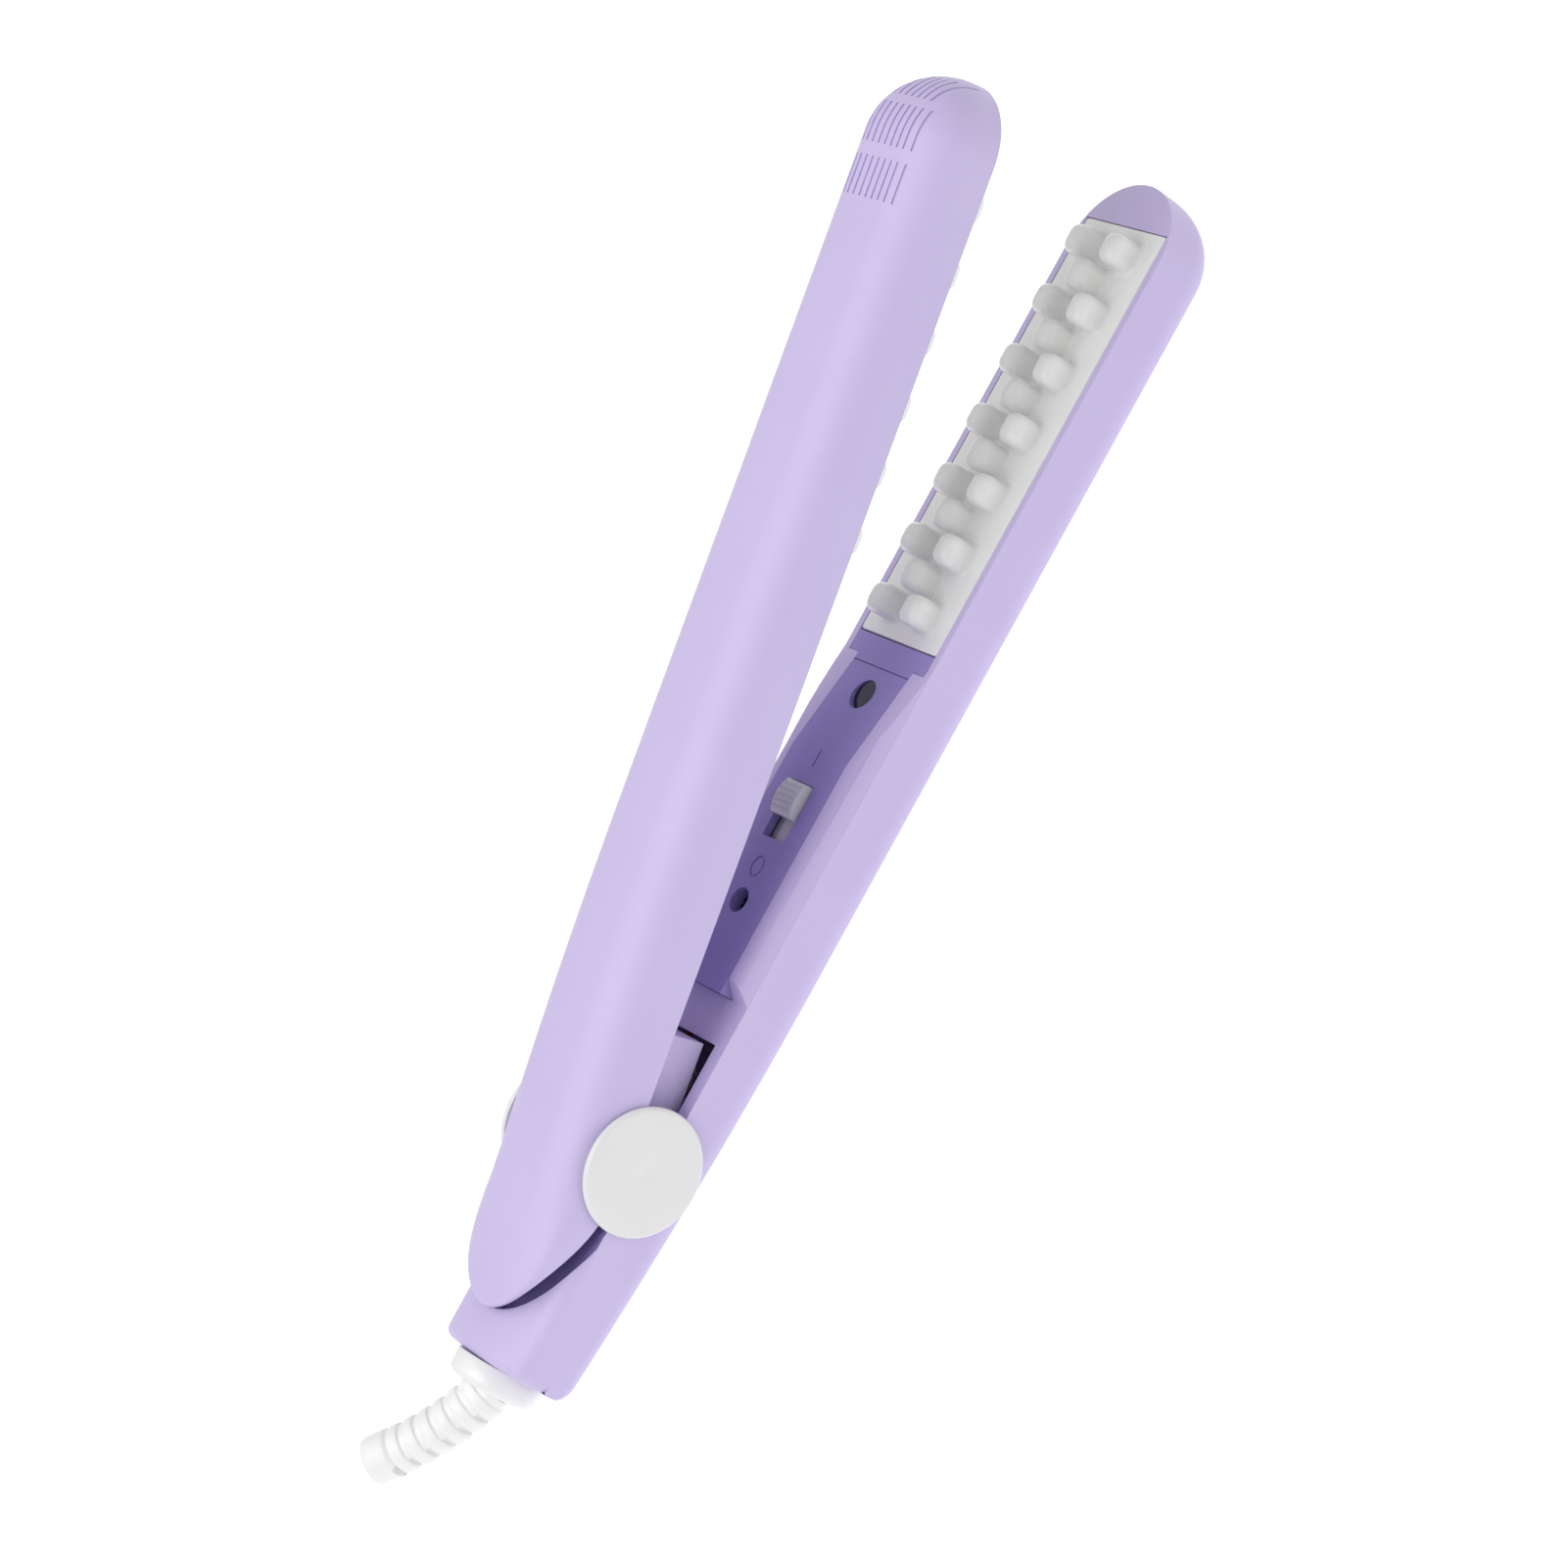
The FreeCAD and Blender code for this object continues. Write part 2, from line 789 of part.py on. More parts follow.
def make_heating(prefix, side):
    on_upper = side == UPPER
    middle = s.plate_start + s.plate_length / 2
    carrier_back = s.plate_start + s.plate_gap
    carrier_front = plate_front - s.plate_gap - 2
    depth = s.plate_thickness
    outer = layer(
        f"{prefix}_tray", side, carrier_back, carrier_front, s.carrier_width, depth, s.carrier_depth
    )
    window = layer(
        f"{prefix}_window",
        side,
        carrier_back + s.carrier_wall,
        carrier_front - s.carrier_wall,
        s.carrier_width - 2 * s.carrier_wall,
        depth - 1,
        s.carrier_depth + 2,
    )
    part(f"{prefix}_plate_carrier", cut(f"{prefix}_plate_carrier", outer, window), on_upper)
    heater_half = s.heater_length / 2
    heater = layer(
        f"{prefix}_heater",
        side,
        middle - heater_half,
        middle + heater_half,
        s.heater_width,
        depth,
        s.heater_thickness,
    )
    part(f"{prefix}_heater", heater, on_upper)
    depth = depth + s.heater_thickness
    mica = layer(
        f"{prefix}_mica_sheet",
        side,
        middle - heater_half - s.mica_margin,
        middle + heater_half + s.mica_margin,
        s.heater_width + 2 * s.mica_margin,
        depth,
        s.mica_thickness,
    )
    part(f"{prefix}_mica_sheet", mica, on_upper)
    depth = depth + s.mica_thickness
    half = s.clamp_length / 2
    back, front = middle - half, middle + half
    lip_middle = (s.heater_width + s.clamp_thickness) / 2 + s.mica_margin
    web_width = 2 * lip_middle + s.clamp_thickness
    web = layer(f"{prefix}_clamp_web", side, back, front, web_width, depth, s.clamp_thickness)
    lips = [
        layer(
            f"{prefix}_clamp_lip",
            side,
            back,
            front,
            s.clamp_thickness,
            depth - s.clamp_lip,
            s.clamp_lip + s.clamp_thickness,
            hand * lip_middle,
        )
        for hand in (-1, 1)
    ]
    part(f"{prefix}_heater_clamp", fuse(f"{prefix}_heater_clamp", web, *lips), on_upper)


def make_fuse():
    depth = s.plate_thickness + s.heater_thickness + s.mica_thickness + s.clamp_thickness
    height = level(LOWER, depth) - s.fuse_radius
    part(
        "thermal_fuse",
        rod("thermal_fuse", "X", (s.plate_start + 40, 0, height), s.fuse_radius, s.fuse_length),
    )


def make_leads():
    height = s.lead_height
    lower = [
        rod(
            "lower_lead",
            "X",
            (tail + 12, hand * (s.lead_offset - 1.5), height + 1.5),
            s.lead_radius,
            s.tail_back + s.plate_start - 14,
        )
        for hand in (-1, 1)
    ]
    part("lower_leads", group("lower_leads", *lower))
    upper = [
        rod(
            "upper_lead",
            "X",
            (s.block_front + 1, hand * (s.lead_offset - 2), upper_rim + 6),
            s.lead_radius,
            s.plate_start - s.block_front - 2,
        )
        for hand in (-1, 1)
    ]
    part("upper_leads", group("upper_leads", *upper), True)


# ---------------------------------------------------------------- hinge


def ring_body(name, inner, outer, length):
    """A ring about Y, from Y = 0 to its length."""
    corners = [(inner, 0), (outer, 0), (outer, length), (inner, length)]
    return turned_body(name, corners, "XY_Plane", "V_Axis")


def make_hinge():
    part("hinge_pin", cross_rod("hinge_pin", hinge_x, hinge_z, s.pin_radius, s.pin_length / 2))
    washers = []
    for name, start in (
        ("washer_near", -s.ear_inner),
        ("washer_far", s.ear_inner - s.washer_thickness),
    ):
        washer = ring_body(name, s.pin_radius, s.washer_radius, s.washer_thickness)
        place(washer, hinge_x, start, hinge_z)
        washers.append(washer)
    part("hinge_washers", group("hinge_washers", *washers))
    bush = ring_body(
        "hinge_bush", s.pin_radius + s.bush_clearance, s.bush_radius, 2 * s.block_half_width
    )
    place(bush, hinge_x, -s.block_half_width, hinge_z)
    part("hinge_bush", bush, True)
    for label, hand in (("hinge_cap_near", -1), ("hinge_cap_far", 1)):
        part(label, cap_body(label, hand))


def cap_body(name, hand):
    """A round cover whose boss meets the lower frame's ear; it stands off the moving arm."""
    inner = hand * half_width
    under = hand * (half_width + s.cap_lift)
    face = hand * (half_width + s.cap_lift + s.cap_thickness)
    edge = hand * (half_width + s.cap_lift + s.cap_thickness - s.cap_edge)
    corners = [
        (0.0, inner),
        (s.cap_boss_radius, inner),
        (s.cap_boss_radius, under),
        (s.cap_radius, under),
        (s.cap_radius, edge),
        (s.cap_radius - s.cap_edge / 2, face - hand * s.cap_edge / 3),
        (s.cap_radius - 2 * s.cap_edge, face),
        (0.0, face),
    ]
    cap = turned_body(name, corners, "XY_Plane", "V_Axis")
    place(cap, hinge_x, 0, hinge_z)
    return cap


def make_spring():
    turns = float(s.spring_turns)
    wire = float(s.spring_wire)
    height = s.spring_length - 2 * wire
    helix = Part.makeHelix(float(height / turns), float(height), float(s.spring_radius))
    circle = Part.makeCircle(wire, vector(s.spring_radius, 0, 0), vector(0, 1, 0))
    coil = Part.Wire(helix).makePipeShell([Part.Wire([circle])], True, True)
    coil.translate(vector(-s.spring_back, 0, s.spring_bottom + wire))
    part("return_spring", shaped("return_spring", coil))


# ---------------------------------------------------------------- switch, board, indicator, screws


def make_electrics():
    board = centred_box(
        "board",
        s.board_back,
        s.board_front,
        s.board_width,
        s.board_bottom,
        s.board_bottom + s.board_thickness,
    )
    hole = rod("board_hole", "Z", (-s.screw_back, 0, 0), s.screw_radius + 0.4, 20)
    part("control_board", cut("control_board", board, hole))
    board_top = s.board_bottom + s.board_thickness
    half = s.switch_body_length / 2
    case = centred_box(
        "switch_case",
        switch_middle - half,
        switch_middle + half,
        s.switch_body_width,
        board_top,
        board_top + s.switch_body_height,
    )
    stem_back, stem_front = stem_span()
    channel = centred_box(
        "switch_channel",
        stem_back - s.switch_travel - 0.4,
        stem_front + 0.4,
        3.4,
        board_top + 1,
        board_top + s.switch_body_height + 1,
    )
    part("slide_switch_body", cut("slide_switch_body", case, channel))
    lamp_z = board_top
    stalk = rod("lamp_stalk", "Z", (-s.indicator_back, 0, lamp_z), s.lamp_radius, s.lamp_height - 1)
    dome = doc.addObject("Part::Sphere", "lamp_dome")
    bind(dome, Radius=s.lamp_radius)
    place(dome, -s.indicator_back, 0, lamp_z + s.lamp_height - 1)
    part("indicator_lamp", fuse("indicator_lamp", stalk, dome))
    lens = rod(
        "indicator_lens",
        "Z",
        (-s.indicator_back, 0, s.lens_bottom),
        s.indicator_radius - s.lens_gap,
        s.lens_thickness,
    )
    part("indicator_lens", lens)


def stem_span():
    """The slider's drive stem, under the middle of the knob."""
    knob_middle = s.slot_front - s.knob_gap - s.knob_length / 2
    return knob_middle - s.stem_length / 2, knob_middle + s.stem_length / 2


def make_knob():
    front = s.slot_front - s.knob_gap
    back = front - s.knob_length
    width = s.slot_half_width - s.knob_gap
    corners = [(back, -width), (front, -width), (front, width), (back, width)]
    rise = platform_top + s.knob_rise - s.slider_top + 0.2
    grip = padded_body("knob_grip", corners, rise)
    round_edges(grip, s.knob_round, lambda e: e.BoundBox.ZMin > rise - 0.01)
    place(grip, 0, 0, s.slider_top - 0.2)
    base = centred_box(
        "slider_base",
        switch_middle - s.slider_length / 2 + s.switch_travel / 2,
        switch_middle + s.slider_length / 2 - s.switch_travel / 2 + 2,
        s.switch_body_width,
        s.slider_top - s.slider_thickness,
        s.slider_top,
    )
    stem_back, stem_front = stem_span()
    stem = centred_box(
        "slider_stem",
        stem_back,
        stem_front,
        2.4,
        s.slider_top - s.slider_thickness - s.stem_height,
        s.slider_top,
    )
    part("switch_knob", fuse("switch_knob", grip, base, stem))


def screw(name, x, y, seat, side):
    """A pan-head screw. LOWER points down from its seat, UPPER points up."""
    head = rod(f"{name}_head", "Z", (x, y, seat), s.screw_head_radius, s.screw_head_height)
    shank = rod(f"{name}_shank", "Z", (x, y, seat - s.screw_length), s.screw_radius, s.screw_length)
    if side == UPPER:
        place(head, x, y, seat - s.screw_head_height)
        place(shank, x, y, seat)
    slot = box(
        f"{name}_slot",
        (x - s.screw_head_radius, y - 0.3, seat + s.screw_head_height - 0.6),
        (2 * s.screw_head_radius, 0.6, 1.0),
    )
    cross = box(
        f"{name}_cross",
        (x - 0.3, y - s.screw_head_radius, seat + s.screw_head_height - 0.6),
        (0.6, 2 * s.screw_head_radius, 1.0),
    )
    if side == UPPER:
        place(slot, x - s.screw_head_radius, y - 0.3, seat - s.screw_head_height - 0.4)
        place(cross, x - 0.3, y - s.screw_head_radius, seat - s.screw_head_height - 0.4)
    return cut(name, fuse(f"{name}_blank", head, shank), slot, cross)


# ---------------------------------------------------------------- upper arm casing


def upper_tail_wedge():
    """What the upper shell loses below its rising tail edge."""
    back = -s.upper_tail_back - 5
    high = upper_rim + s.tail_edge_rise
    corners = [
        (s.tail_edge_start, upper_rim),
        (
            "arc",
            (-s.upper_tail_back + 14, upper_rim + 0.62 * s.tail_edge_rise),
            (back, high + 1.2),
        ),
        (back, upper_rim - 12),
        (s.tail_edge_start, upper_rim - 12),
    ]
    return prism("tail_wedge", corners, "XZ", -20, 40)


def groove_tools():
    """Blind grooves on the tip: two rows along the top and one that runs over the nose."""
    inner = upper_skin(float(s.groove_depth), -60.0)
    tools = []
    for row, (start, length) in enumerate(((82.5, 8.0), (93.0, 8.5), (103.2, 6.0))):
        for i in range(-4, 5):
            if abs(i) * s.groove_pitch > (9.0, 8.6, 6.8)[row]:
                continue
            y = i * s.groove_pitch
            tools.append(
                Part.makeBox(
                    length,
                    float(s.groove_width),
                    30,
                    vector(start, y - s.groove_width / 2, upper_rim + 4),
                )
            )
    return [tool.cut(inner) for tool in tools]


def make_upper_shell():
    outer = upper_skin(0.0, -float(s.upper_tail_back) + 0.05)
    hollow = upper_skin(float(s.wall), float(s.bay_back) + 1)
    lip = Part.makeBox(40, 40, 2.2, vector(plate_front + s.plate_gap, -20, upper_rim))
    hollow = hollow.cut(lip)
    below = Part.makeBox(300, 60, 60, vector(-160, -30, upper_rim - 60))
    plate_bay = Part.makeBox(
        float(s.plate_length + 2 * s.plate_gap),
        float(s.plate_width + 2 * s.plate_gap),
        float(s.plate_thickness + s.plate_gap),
        vector(s.plate_start - s.plate_gap, -s.plate_width / 2 - s.plate_gap, upper_rim),
    )
    notch = Part.makeCylinder(
        float(s.notch_radius), 60, vector(hinge_x, -30, hinge_z), vector(0, 1, 0)
    )
    shell = outer.cut([hollow, below, plate_bay, notch, upper_tail_wedge().Shape])
    shell = shell.cut(groove_tools())
    posts = []
    for x in (-s.screw_back, -s.upper_screw_back):
        foot = vector(x, 0, upper_rim + s.upper_post_rise)
        post = Part.makeCylinder(float(s.boss_radius), 10.5, foot)
        pilot = Part.makeCylinder(float(s.screw_radius), 9.0, foot)
        posts.append(post.cut(pilot))
    part("upper_shell", shaped("upper_shell", shell.fuse(posts)), True)


def make_upper_frame():
    gap = s.liner_gap
    inner = 2 * (half_width - s.wall - gap)
    deck = centred_box(
        "upper_deck", s.bay_back + 2, s.liner_front, inner, upper_rim, upper_rim + s.liner_thickness
    )
    notch_front = s.liner_back + s.notch_run
    corners = [
        (s.ramp_front, upper_rim),
        (s.ramp_back, platform_bottom),
        (notch_front, platform_bottom),
        (s.liner_back, upper_rim),
    ]
    platform = prism("upper_platform", corners, "XZ", -s.platform_half_width, 2 * s.platform_half_width)
    block = centred_box(
        "hinge_block",
        s.block_back,
        s.block_front,
        2 * s.block_half_width,
        s.block_bottom,
        upper_rim + s.liner_thickness,
    )
    pocket = centred_box(
        "platform_hollow",
        s.liner_back + 6,
        s.ramp_back - 1,
        2 * (s.platform_half_width - s.liner_thickness),
        platform_bottom + s.liner_thickness,
        upper_rim + 5,
    )
    knob_recess = centred_box(
        "knob_recess",
        s.slot_back - 1,
        s.slot_front + 1,
        2 * s.slot_half_width + 1,
        platform_bottom - 1,
        platform_bottom + s.knob_rise + 1.1,
    )
    screw_places = (-s.screw_back, -s.upper_screw_back)
    seat_bottom = platform_bottom + s.liner_thickness
    seat_height = upper_rim + s.seat_rise - seat_bottom
    seats = [
        rod(f"seat_{i}", "Z", (x, 0, seat_bottom), s.boss_radius, seat_height)
        for i, x in enumerate(screw_places)
    ]
    blank = cut("upper_hollow", fuse("upper_blank", deck, platform, block), pocket)
    body = fuse("upper_frame_raw", blank, *seats)
    shaft = cross_rod("bush_bore", hinge_x, hinge_z, s.bush_radius, s.block_half_width + 1)
    ears = cross_rod("ear_clearance", hinge_x, hinge_z, s.notch_radius, half_width)
    ear_core = cross_rod("ear_core", hinge_x, hinge_z, s.notch_radius + 1, s.block_half_width)
    side_clearance = cut("ear_ring", ears, ear_core)
    tools = [shaft, side_clearance, knob_recess]
    recess = s.upper_screw_recess
    for i, x in enumerate(screw_places):
        start = (x, 0, platform_bottom - 1)
        tools.append(rod(f"recess_{i}", "Z", start, s.screw_recess_radius, recess + 1))
        tools.append(rod(f"hole_{i}", "Z", start, s.screw_radius, 12))
    part("upper_frame", cut("upper_frame", body, *tools), True)
    screws = [
        screw(f"upper_screw_{i}", x, 0, platform_bottom + recess, UPPER)
        for i, x in enumerate(screw_places)
    ]
    part("upper_screws", group("upper_screws", *screws), True)


# ---------------------------------------------------------------- swivel and strain relief


def make_swivel():
    face = tail - s.hub_gap
    outer = tail - s.hub_length
    inside = tail + s.tail_wall + s.hub_gap
    flange_end = inside + s.flange_length
    nose_end = flange_end + s.hub_nose_length
    corners = [
        (outer, s.hub_bore),
        (outer, s.hub_radius - s.hub_round),
        (outer + s.hub_round * 0.3, s.hub_radius - s.hub_round * 0.3),
        (outer + s.hub_round, s.hub_radius),
        (face, s.hub_radius),
        (face, s.neck_radius),
        (inside, s.neck_radius),
        (inside, s.flange_radius),
        (flange_end, s.flange_radius),
        (flange_end, s.hub_nose_radius),
        (nose_end, s.hub_nose_radius),
        (nose_end, s.hub_bore),
    ]
    hub = turned_body("swivel_hub", corners)
    place(hub, 0, 0, s.swivel_height)
    part("swivel_hub", hub)
    rings, brushes = [], []
    for i in range(2):
        back = flange_end + s.ring_gap + i * (s.ring_width + s.ring_gap)
        ring = turned_body(
            f"slip_ring_{i}",
            [
                (back, s.hub_nose_radius),
                (back, s.ring_radius),
                (back + s.ring_width, s.ring_radius),
                (back + s.ring_width, s.hub_nose_radius),
            ],
        )
        place(ring, 0, 0, s.swivel_height)
        rings.append(ring)
        brush_top = s.swivel_height - s.ring_radius - 0.12
        brushes.append(
            centred_box(f"brush_{i}", *brush_span(i), s.brush_width, s.brush_bottom, brush_top)
        )
    part("slip_rings", group("slip_rings", *rings))
    part("contact_brushes", group("contact_brushes", *brushes))


def boot_tube(radius, bore, first, last):
    """A round tube along the boot's arc, from one angle to another, in degrees."""
    centre = vector(
        tail - s.hub_length + s.boot_radius * math.sin(math.radians(s.boot_start_angle)),
        0,
        s.swivel_height + s.boot_radius * math.cos(math.radians(s.boot_start_angle)),
    )
    turning = vector(0, 1, 0)

    def curved_rod(rod_radius, margin):
        start = centre - vector(0, 0, s.boot_radius)
        circle = Part.makeCircle(float(rod_radius), start, vector(1, 0, 0))
        disc = Part.Face(Part.Wire([circle]))
        disc.rotate(centre, turning, float(first) - margin)
        return disc.revolve(centre, turning, float(last) - float(first) + 2 * margin)

    return curved_rod(radius, 0.0).cut(curved_rod(bore, 1.0))


def make_boot():
    first = s.boot_start_angle
    last = first + s.boot_turn
    pitch = s.boot_turn / s.boot_rings
    half_ring = math.degrees(s.boot_ring_width / s.boot_radius) / 2
    tubes = [boot_tube(s.boot_core_radius, s.cord_bore, first - s.boot_root_turn, last)]
    for i in range(int(s.boot_rings)):
        middle = float(first + pitch * (i + 0.45))
        tubes.append(boot_tube(s.boot_ring_radius, s.cord_bore, middle - half_ring, middle + half_ring))
    angle = math.radians(last)
    along = vector(-math.cos(angle), 0, math.sin(angle))
    turned_x = s.boot_radius * (math.sin(angle) - math.sin(math.radians(first)))
    turned_z = s.boot_radius * (math.cos(math.radians(first)) - math.cos(angle))
    end = vector(tail - s.hub_length - turned_x, 0, s.swivel_height + turned_z)
    length = float(s.boot_collar_length)
    collar = Part.makeCylinder(float(s.boot_ring_radius), length, end, along)
    way_out = Part.makeCylinder(float(s.cord_bore), length + 2, end - along, along)
    behind_face = Part.makeBox(20, 40, 40, vector(tail - s.hub_length, -20, 0))
    boot = tubes[0].fuse([*tubes[1:], collar.cut(way_out)]).cut(behind_face)
    boot.rotate(vector(0, 0, s.swivel_height), vector(1, 0, 0), -float(s.boot_roll))
    part("strain_relief_boot", shaped("strain_relief_boot", boot))


# ---------------------------------------------------------------- build, check and write


def build():
    outer = make_lower_shell()
    make_lower_frame(outer)
    make_handle_liner()
    make_plate("lower_peg_plate", LOWER)
    make_heating("lower", LOWER)
    make_fuse()
    make_leads()
    make_hinge()
    make_spring()
    make_electrics()
    make_knob()
    part("liner_screw", screw("liner_screw", -s.screw_back, 0, s.screw_seat, LOWER))
    make_upper_shell()
    make_upper_frame()
    make_plate("upper_peg_plate", UPPER)
    make_heating("upper", UPPER)
    make_swivel()
    make_boot()


def check_and_write():
    doc.recompute()
    failed = [o.Name for o in doc.Objects if {"Invalid", "Error"} & set(o.State)]
    if failed:
        raise RuntimeError(f"failed objects: {failed}")
    for obj in parts:
        if obj.Shape.isNull() or not obj.Shape.isValid():
            raise RuntimeError(f"{obj.Label} has no valid shape")
    os.makedirs("parts", exist_ok=True)
    for obj in parts:
        obj.Shape.exportStep(f"parts/{obj.Label}.step")
        print(obj.Label, len(obj.Shape.Solids), round(obj.Shape.Volume))


build()
check_and_write()
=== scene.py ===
import json
import math

import bmesh
import bpy
from mathutils import Matrix, Vector


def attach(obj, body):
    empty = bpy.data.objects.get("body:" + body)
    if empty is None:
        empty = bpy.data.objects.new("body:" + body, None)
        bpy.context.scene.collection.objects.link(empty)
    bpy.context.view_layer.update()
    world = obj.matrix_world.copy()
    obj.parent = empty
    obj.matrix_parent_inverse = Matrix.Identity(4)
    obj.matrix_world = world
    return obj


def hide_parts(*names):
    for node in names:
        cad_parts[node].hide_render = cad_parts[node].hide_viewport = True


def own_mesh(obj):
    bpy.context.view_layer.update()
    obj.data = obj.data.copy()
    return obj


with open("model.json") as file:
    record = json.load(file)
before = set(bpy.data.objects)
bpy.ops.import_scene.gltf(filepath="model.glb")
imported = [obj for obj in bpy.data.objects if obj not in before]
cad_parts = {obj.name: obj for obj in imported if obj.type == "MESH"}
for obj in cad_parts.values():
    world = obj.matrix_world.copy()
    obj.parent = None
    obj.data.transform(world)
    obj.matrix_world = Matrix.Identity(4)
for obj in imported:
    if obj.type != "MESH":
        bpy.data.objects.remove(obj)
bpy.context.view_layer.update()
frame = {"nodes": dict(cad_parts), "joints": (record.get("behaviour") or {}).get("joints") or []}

# Peg-plate hair crimper. Shapes are drawn in millimetres in the model's own frame: +X runs from
# the tail to the tip, +Z is up and -Y is the near side. The upper arm is drawn closed and then
# turned open about the hinge pin.

scene = bpy.context.scene
MM = 0.001

HINGE = Vector(next(j["pos_m"] for j in frame["joints"] if j["name"] == "arm_hinge")) / MM
OPEN_ANGLE = math.radians(10.6)
HALF_WIDTH = 15.0
TAIL = -150.0
TIP = 110.0
RIM = 15.0
SEAM = 12.9
UPPER_RIM = 22.0
PLATFORM = 18.4


# ---------------------------------------------------------------- camera

VIEW_SIDE = math.radians(-4)
VIEW_HEIGHT = math.radians(35)
CAMERA_DISTANCE = 1.0
FRAME_WIDTH = 0.3004
LOOK_AT = Vector((-26.35, -0.5, 22.6)) * MM
ARM_ALONG_VIEW = Vector((0.518, 0.855))


def add_camera():
    """A long lens, rolled so that the arms rise to the upper right."""
    side, height = VIEW_SIDE, VIEW_HEIGHT
    level = math.cos(height)
    back = Vector((math.sin(side) * level, -math.cos(side) * level, math.sin(height)))
    level_right = Vector((math.cos(side), math.sin(side), 0))
    level_up = back.cross(level_right)
    along, across = ARM_ALONG_VIEW.normalized()
    right = level_right * along - level_up * across
    up = level_right * across + level_up * along
    data = bpy.data.cameras.new("camera")
    data.sensor_width = 36
    data.lens = data.sensor_width * CAMERA_DISTANCE / FRAME_WIDTH
    camera = bpy.data.objects.new("camera", data)
    scene.collection.objects.link(camera)
    turned = Matrix((right, up, back)).transposed().to_4x4()
    camera.matrix_world = Matrix.Translation(LOOK_AT + back * CAMERA_DISTANCE) @ turned
    scene.camera = camera


# ---------------------------------------------------------------- materials


def srgb(text, alpha=1.0):
    """A hex colour as linear red, green, blue and alpha."""
    parts = [int(text[i : i + 2], 16) / 255 for i in (1, 3, 5)]
    linear = [p / 12.92 if p <= 0.04045 else ((p + 0.055) / 1.055) ** 2.4 for p in parts]
    return (*linear, alpha)


def per_mm(size):
    """The noise scale that makes features of that many millimetres."""
    return 1 / (size * MM)


def add(tree, kind, inputs=(), **settings):
    """Add a node with its settings, and its inputs as values or links."""
    node = tree.nodes.new(kind)
    for name, value in settings.items():
        setattr(node, name, value)
    for name, value in dict(inputs).items():
        if isinstance(value, bpy.types.NodeSocket):
            tree.links.new(value, node.inputs[name])
        else:
            node.inputs[name].default_value = value
    return node


def start_material(name):
    """An empty material with its shader, and the object's coordinates."""
    material = bpy.data.materials.new(name)
    material.use_nodes = True
    tree = material.node_tree
    tree.nodes.clear()
    shader = add(tree, "ShaderNodeBsdfPrincipled")
    add(tree, "ShaderNodeOutputMaterial", {"Surface": shader.outputs["BSDF"]})
    place = add(tree, "ShaderNodeTexCoord").outputs["Object"]
    return material, tree, shader, place


def finish_values(shader, **values):
    for name, value in values.items():
        shader.inputs[name.replace("_", " ")].default_value = value


def moulded(name, light, dark, cloud_mm, grain_mm, depth, rough, **values):
    """A moulded finish: faint clouds of colour, and a fine grain that dulls and dents it."""
    material, tree, shader, place = start_material(name)
    clouds = add(
        tree,
        "ShaderNodeTexNoise",
        {"Vector": place, "Scale": per_mm(cloud_mm), "Detail": 3.0, "Roughness": 0.55},
    )
    colour = add(
        tree,
        "ShaderNodeMix",
        {0: clouds.outputs["Fac"], 6: srgb(dark), 7: srgb(light)},
        data_type="RGBA",
    )
    grain = add(
        tree,
        "ShaderNodeTexNoise",
        {"Vector": place, "Scale": per_mm(grain_mm), "Detail": 4.0, "Roughness": 0.6},
    )
    dull = add(
        tree,
        "ShaderNodeMapRange",
        {"Value": grain.outputs["Fac"], "To Min": rough - 0.06, "To Max": rough + 0.06},
    )
    bump = add(
        tree,
        "ShaderNodeBump",
        {"Height": grain.outputs["Fac"], "Strength": depth, "Distance": grain_mm * MM * 0.5},
    )
    tree.links.new(colour.outputs[2], shader.inputs["Base Color"])
    tree.links.new(dull.outputs["Result"], shader.inputs["Roughness"])
    tree.links.new(bump.outputs["Normal"], shader.inputs["Normal"])
    finish_values(shader, **values)
    return material


def drawn_metal(name, light, dark, line_mm, run, rough, depth, **values):
    """A metal with drawing or grinding lines along X."""
    material, tree, shader, place = start_material(name)
    stretched = add(tree, "ShaderNodeMapping", {"Vector": place, "Scale": (1 / run, 1, 1)})
    lines = add(
        tree,
        "ShaderNodeTexNoise",
        {"Vector": stretched.outputs["Vector"], "Scale": per_mm(line_mm), "Detail": 5.0},
    )
    colour = add(
        tree,
        "ShaderNodeMix",
        {0: lines.outputs["Fac"], 6: srgb(dark), 7: srgb(light)},
        data_type="RGBA",
    )
    dull = add(
        tree,
        "ShaderNodeMapRange",
        {"Value": lines.outputs["Fac"], "To Min": rough - 0.08, "To Max": rough + 0.1},
    )
    bump = add(
        tree,
        "ShaderNodeBump",
        {"Height": lines.outputs["Fac"], "Strength": depth, "Distance": line_mm * MM * 0.3},
    )
    tree.links.new(colour.outputs[2], shader.inputs["Base Color"])
    tree.links.new(dull.outputs["Result"], shader.inputs["Roughness"])
    tree.links.new(bump.outputs["Normal"], shader.inputs["Normal"])
    finish_values(shader, Metallic=1.0, **values)
    return material


# Soft-touch coated ABS: a sprayed rubbery coat that scatters light, so edges look velvety.
SOFT_COAT = moulded(
    "soft_touch_coated_abs_lilac", "#cbbfe6", "#c5b8e1", 22.0, 0.35, 0.10, 0.50,
    IOR=1.46, Sheen_Weight=0.10, Sheen_Roughness=0.45,
)
# Spark-eroded ABS in a darker violet than the coat: a fine even grain with a low shine. On the
# handle inlay that darker violet is partly painted shade from the upper arm above it; on the lower
# deck it paints the shade inside the hinge bay and tail cup.
VIOLET_ABS_AND_PAINTED_SHADE = moulded(
    "spark_eroded_abs_violet_and_painted_shade", "#9d90ce", "#9487c5", 14.0, 0.30, 0.22, 0.46, IOR=1.5,
)
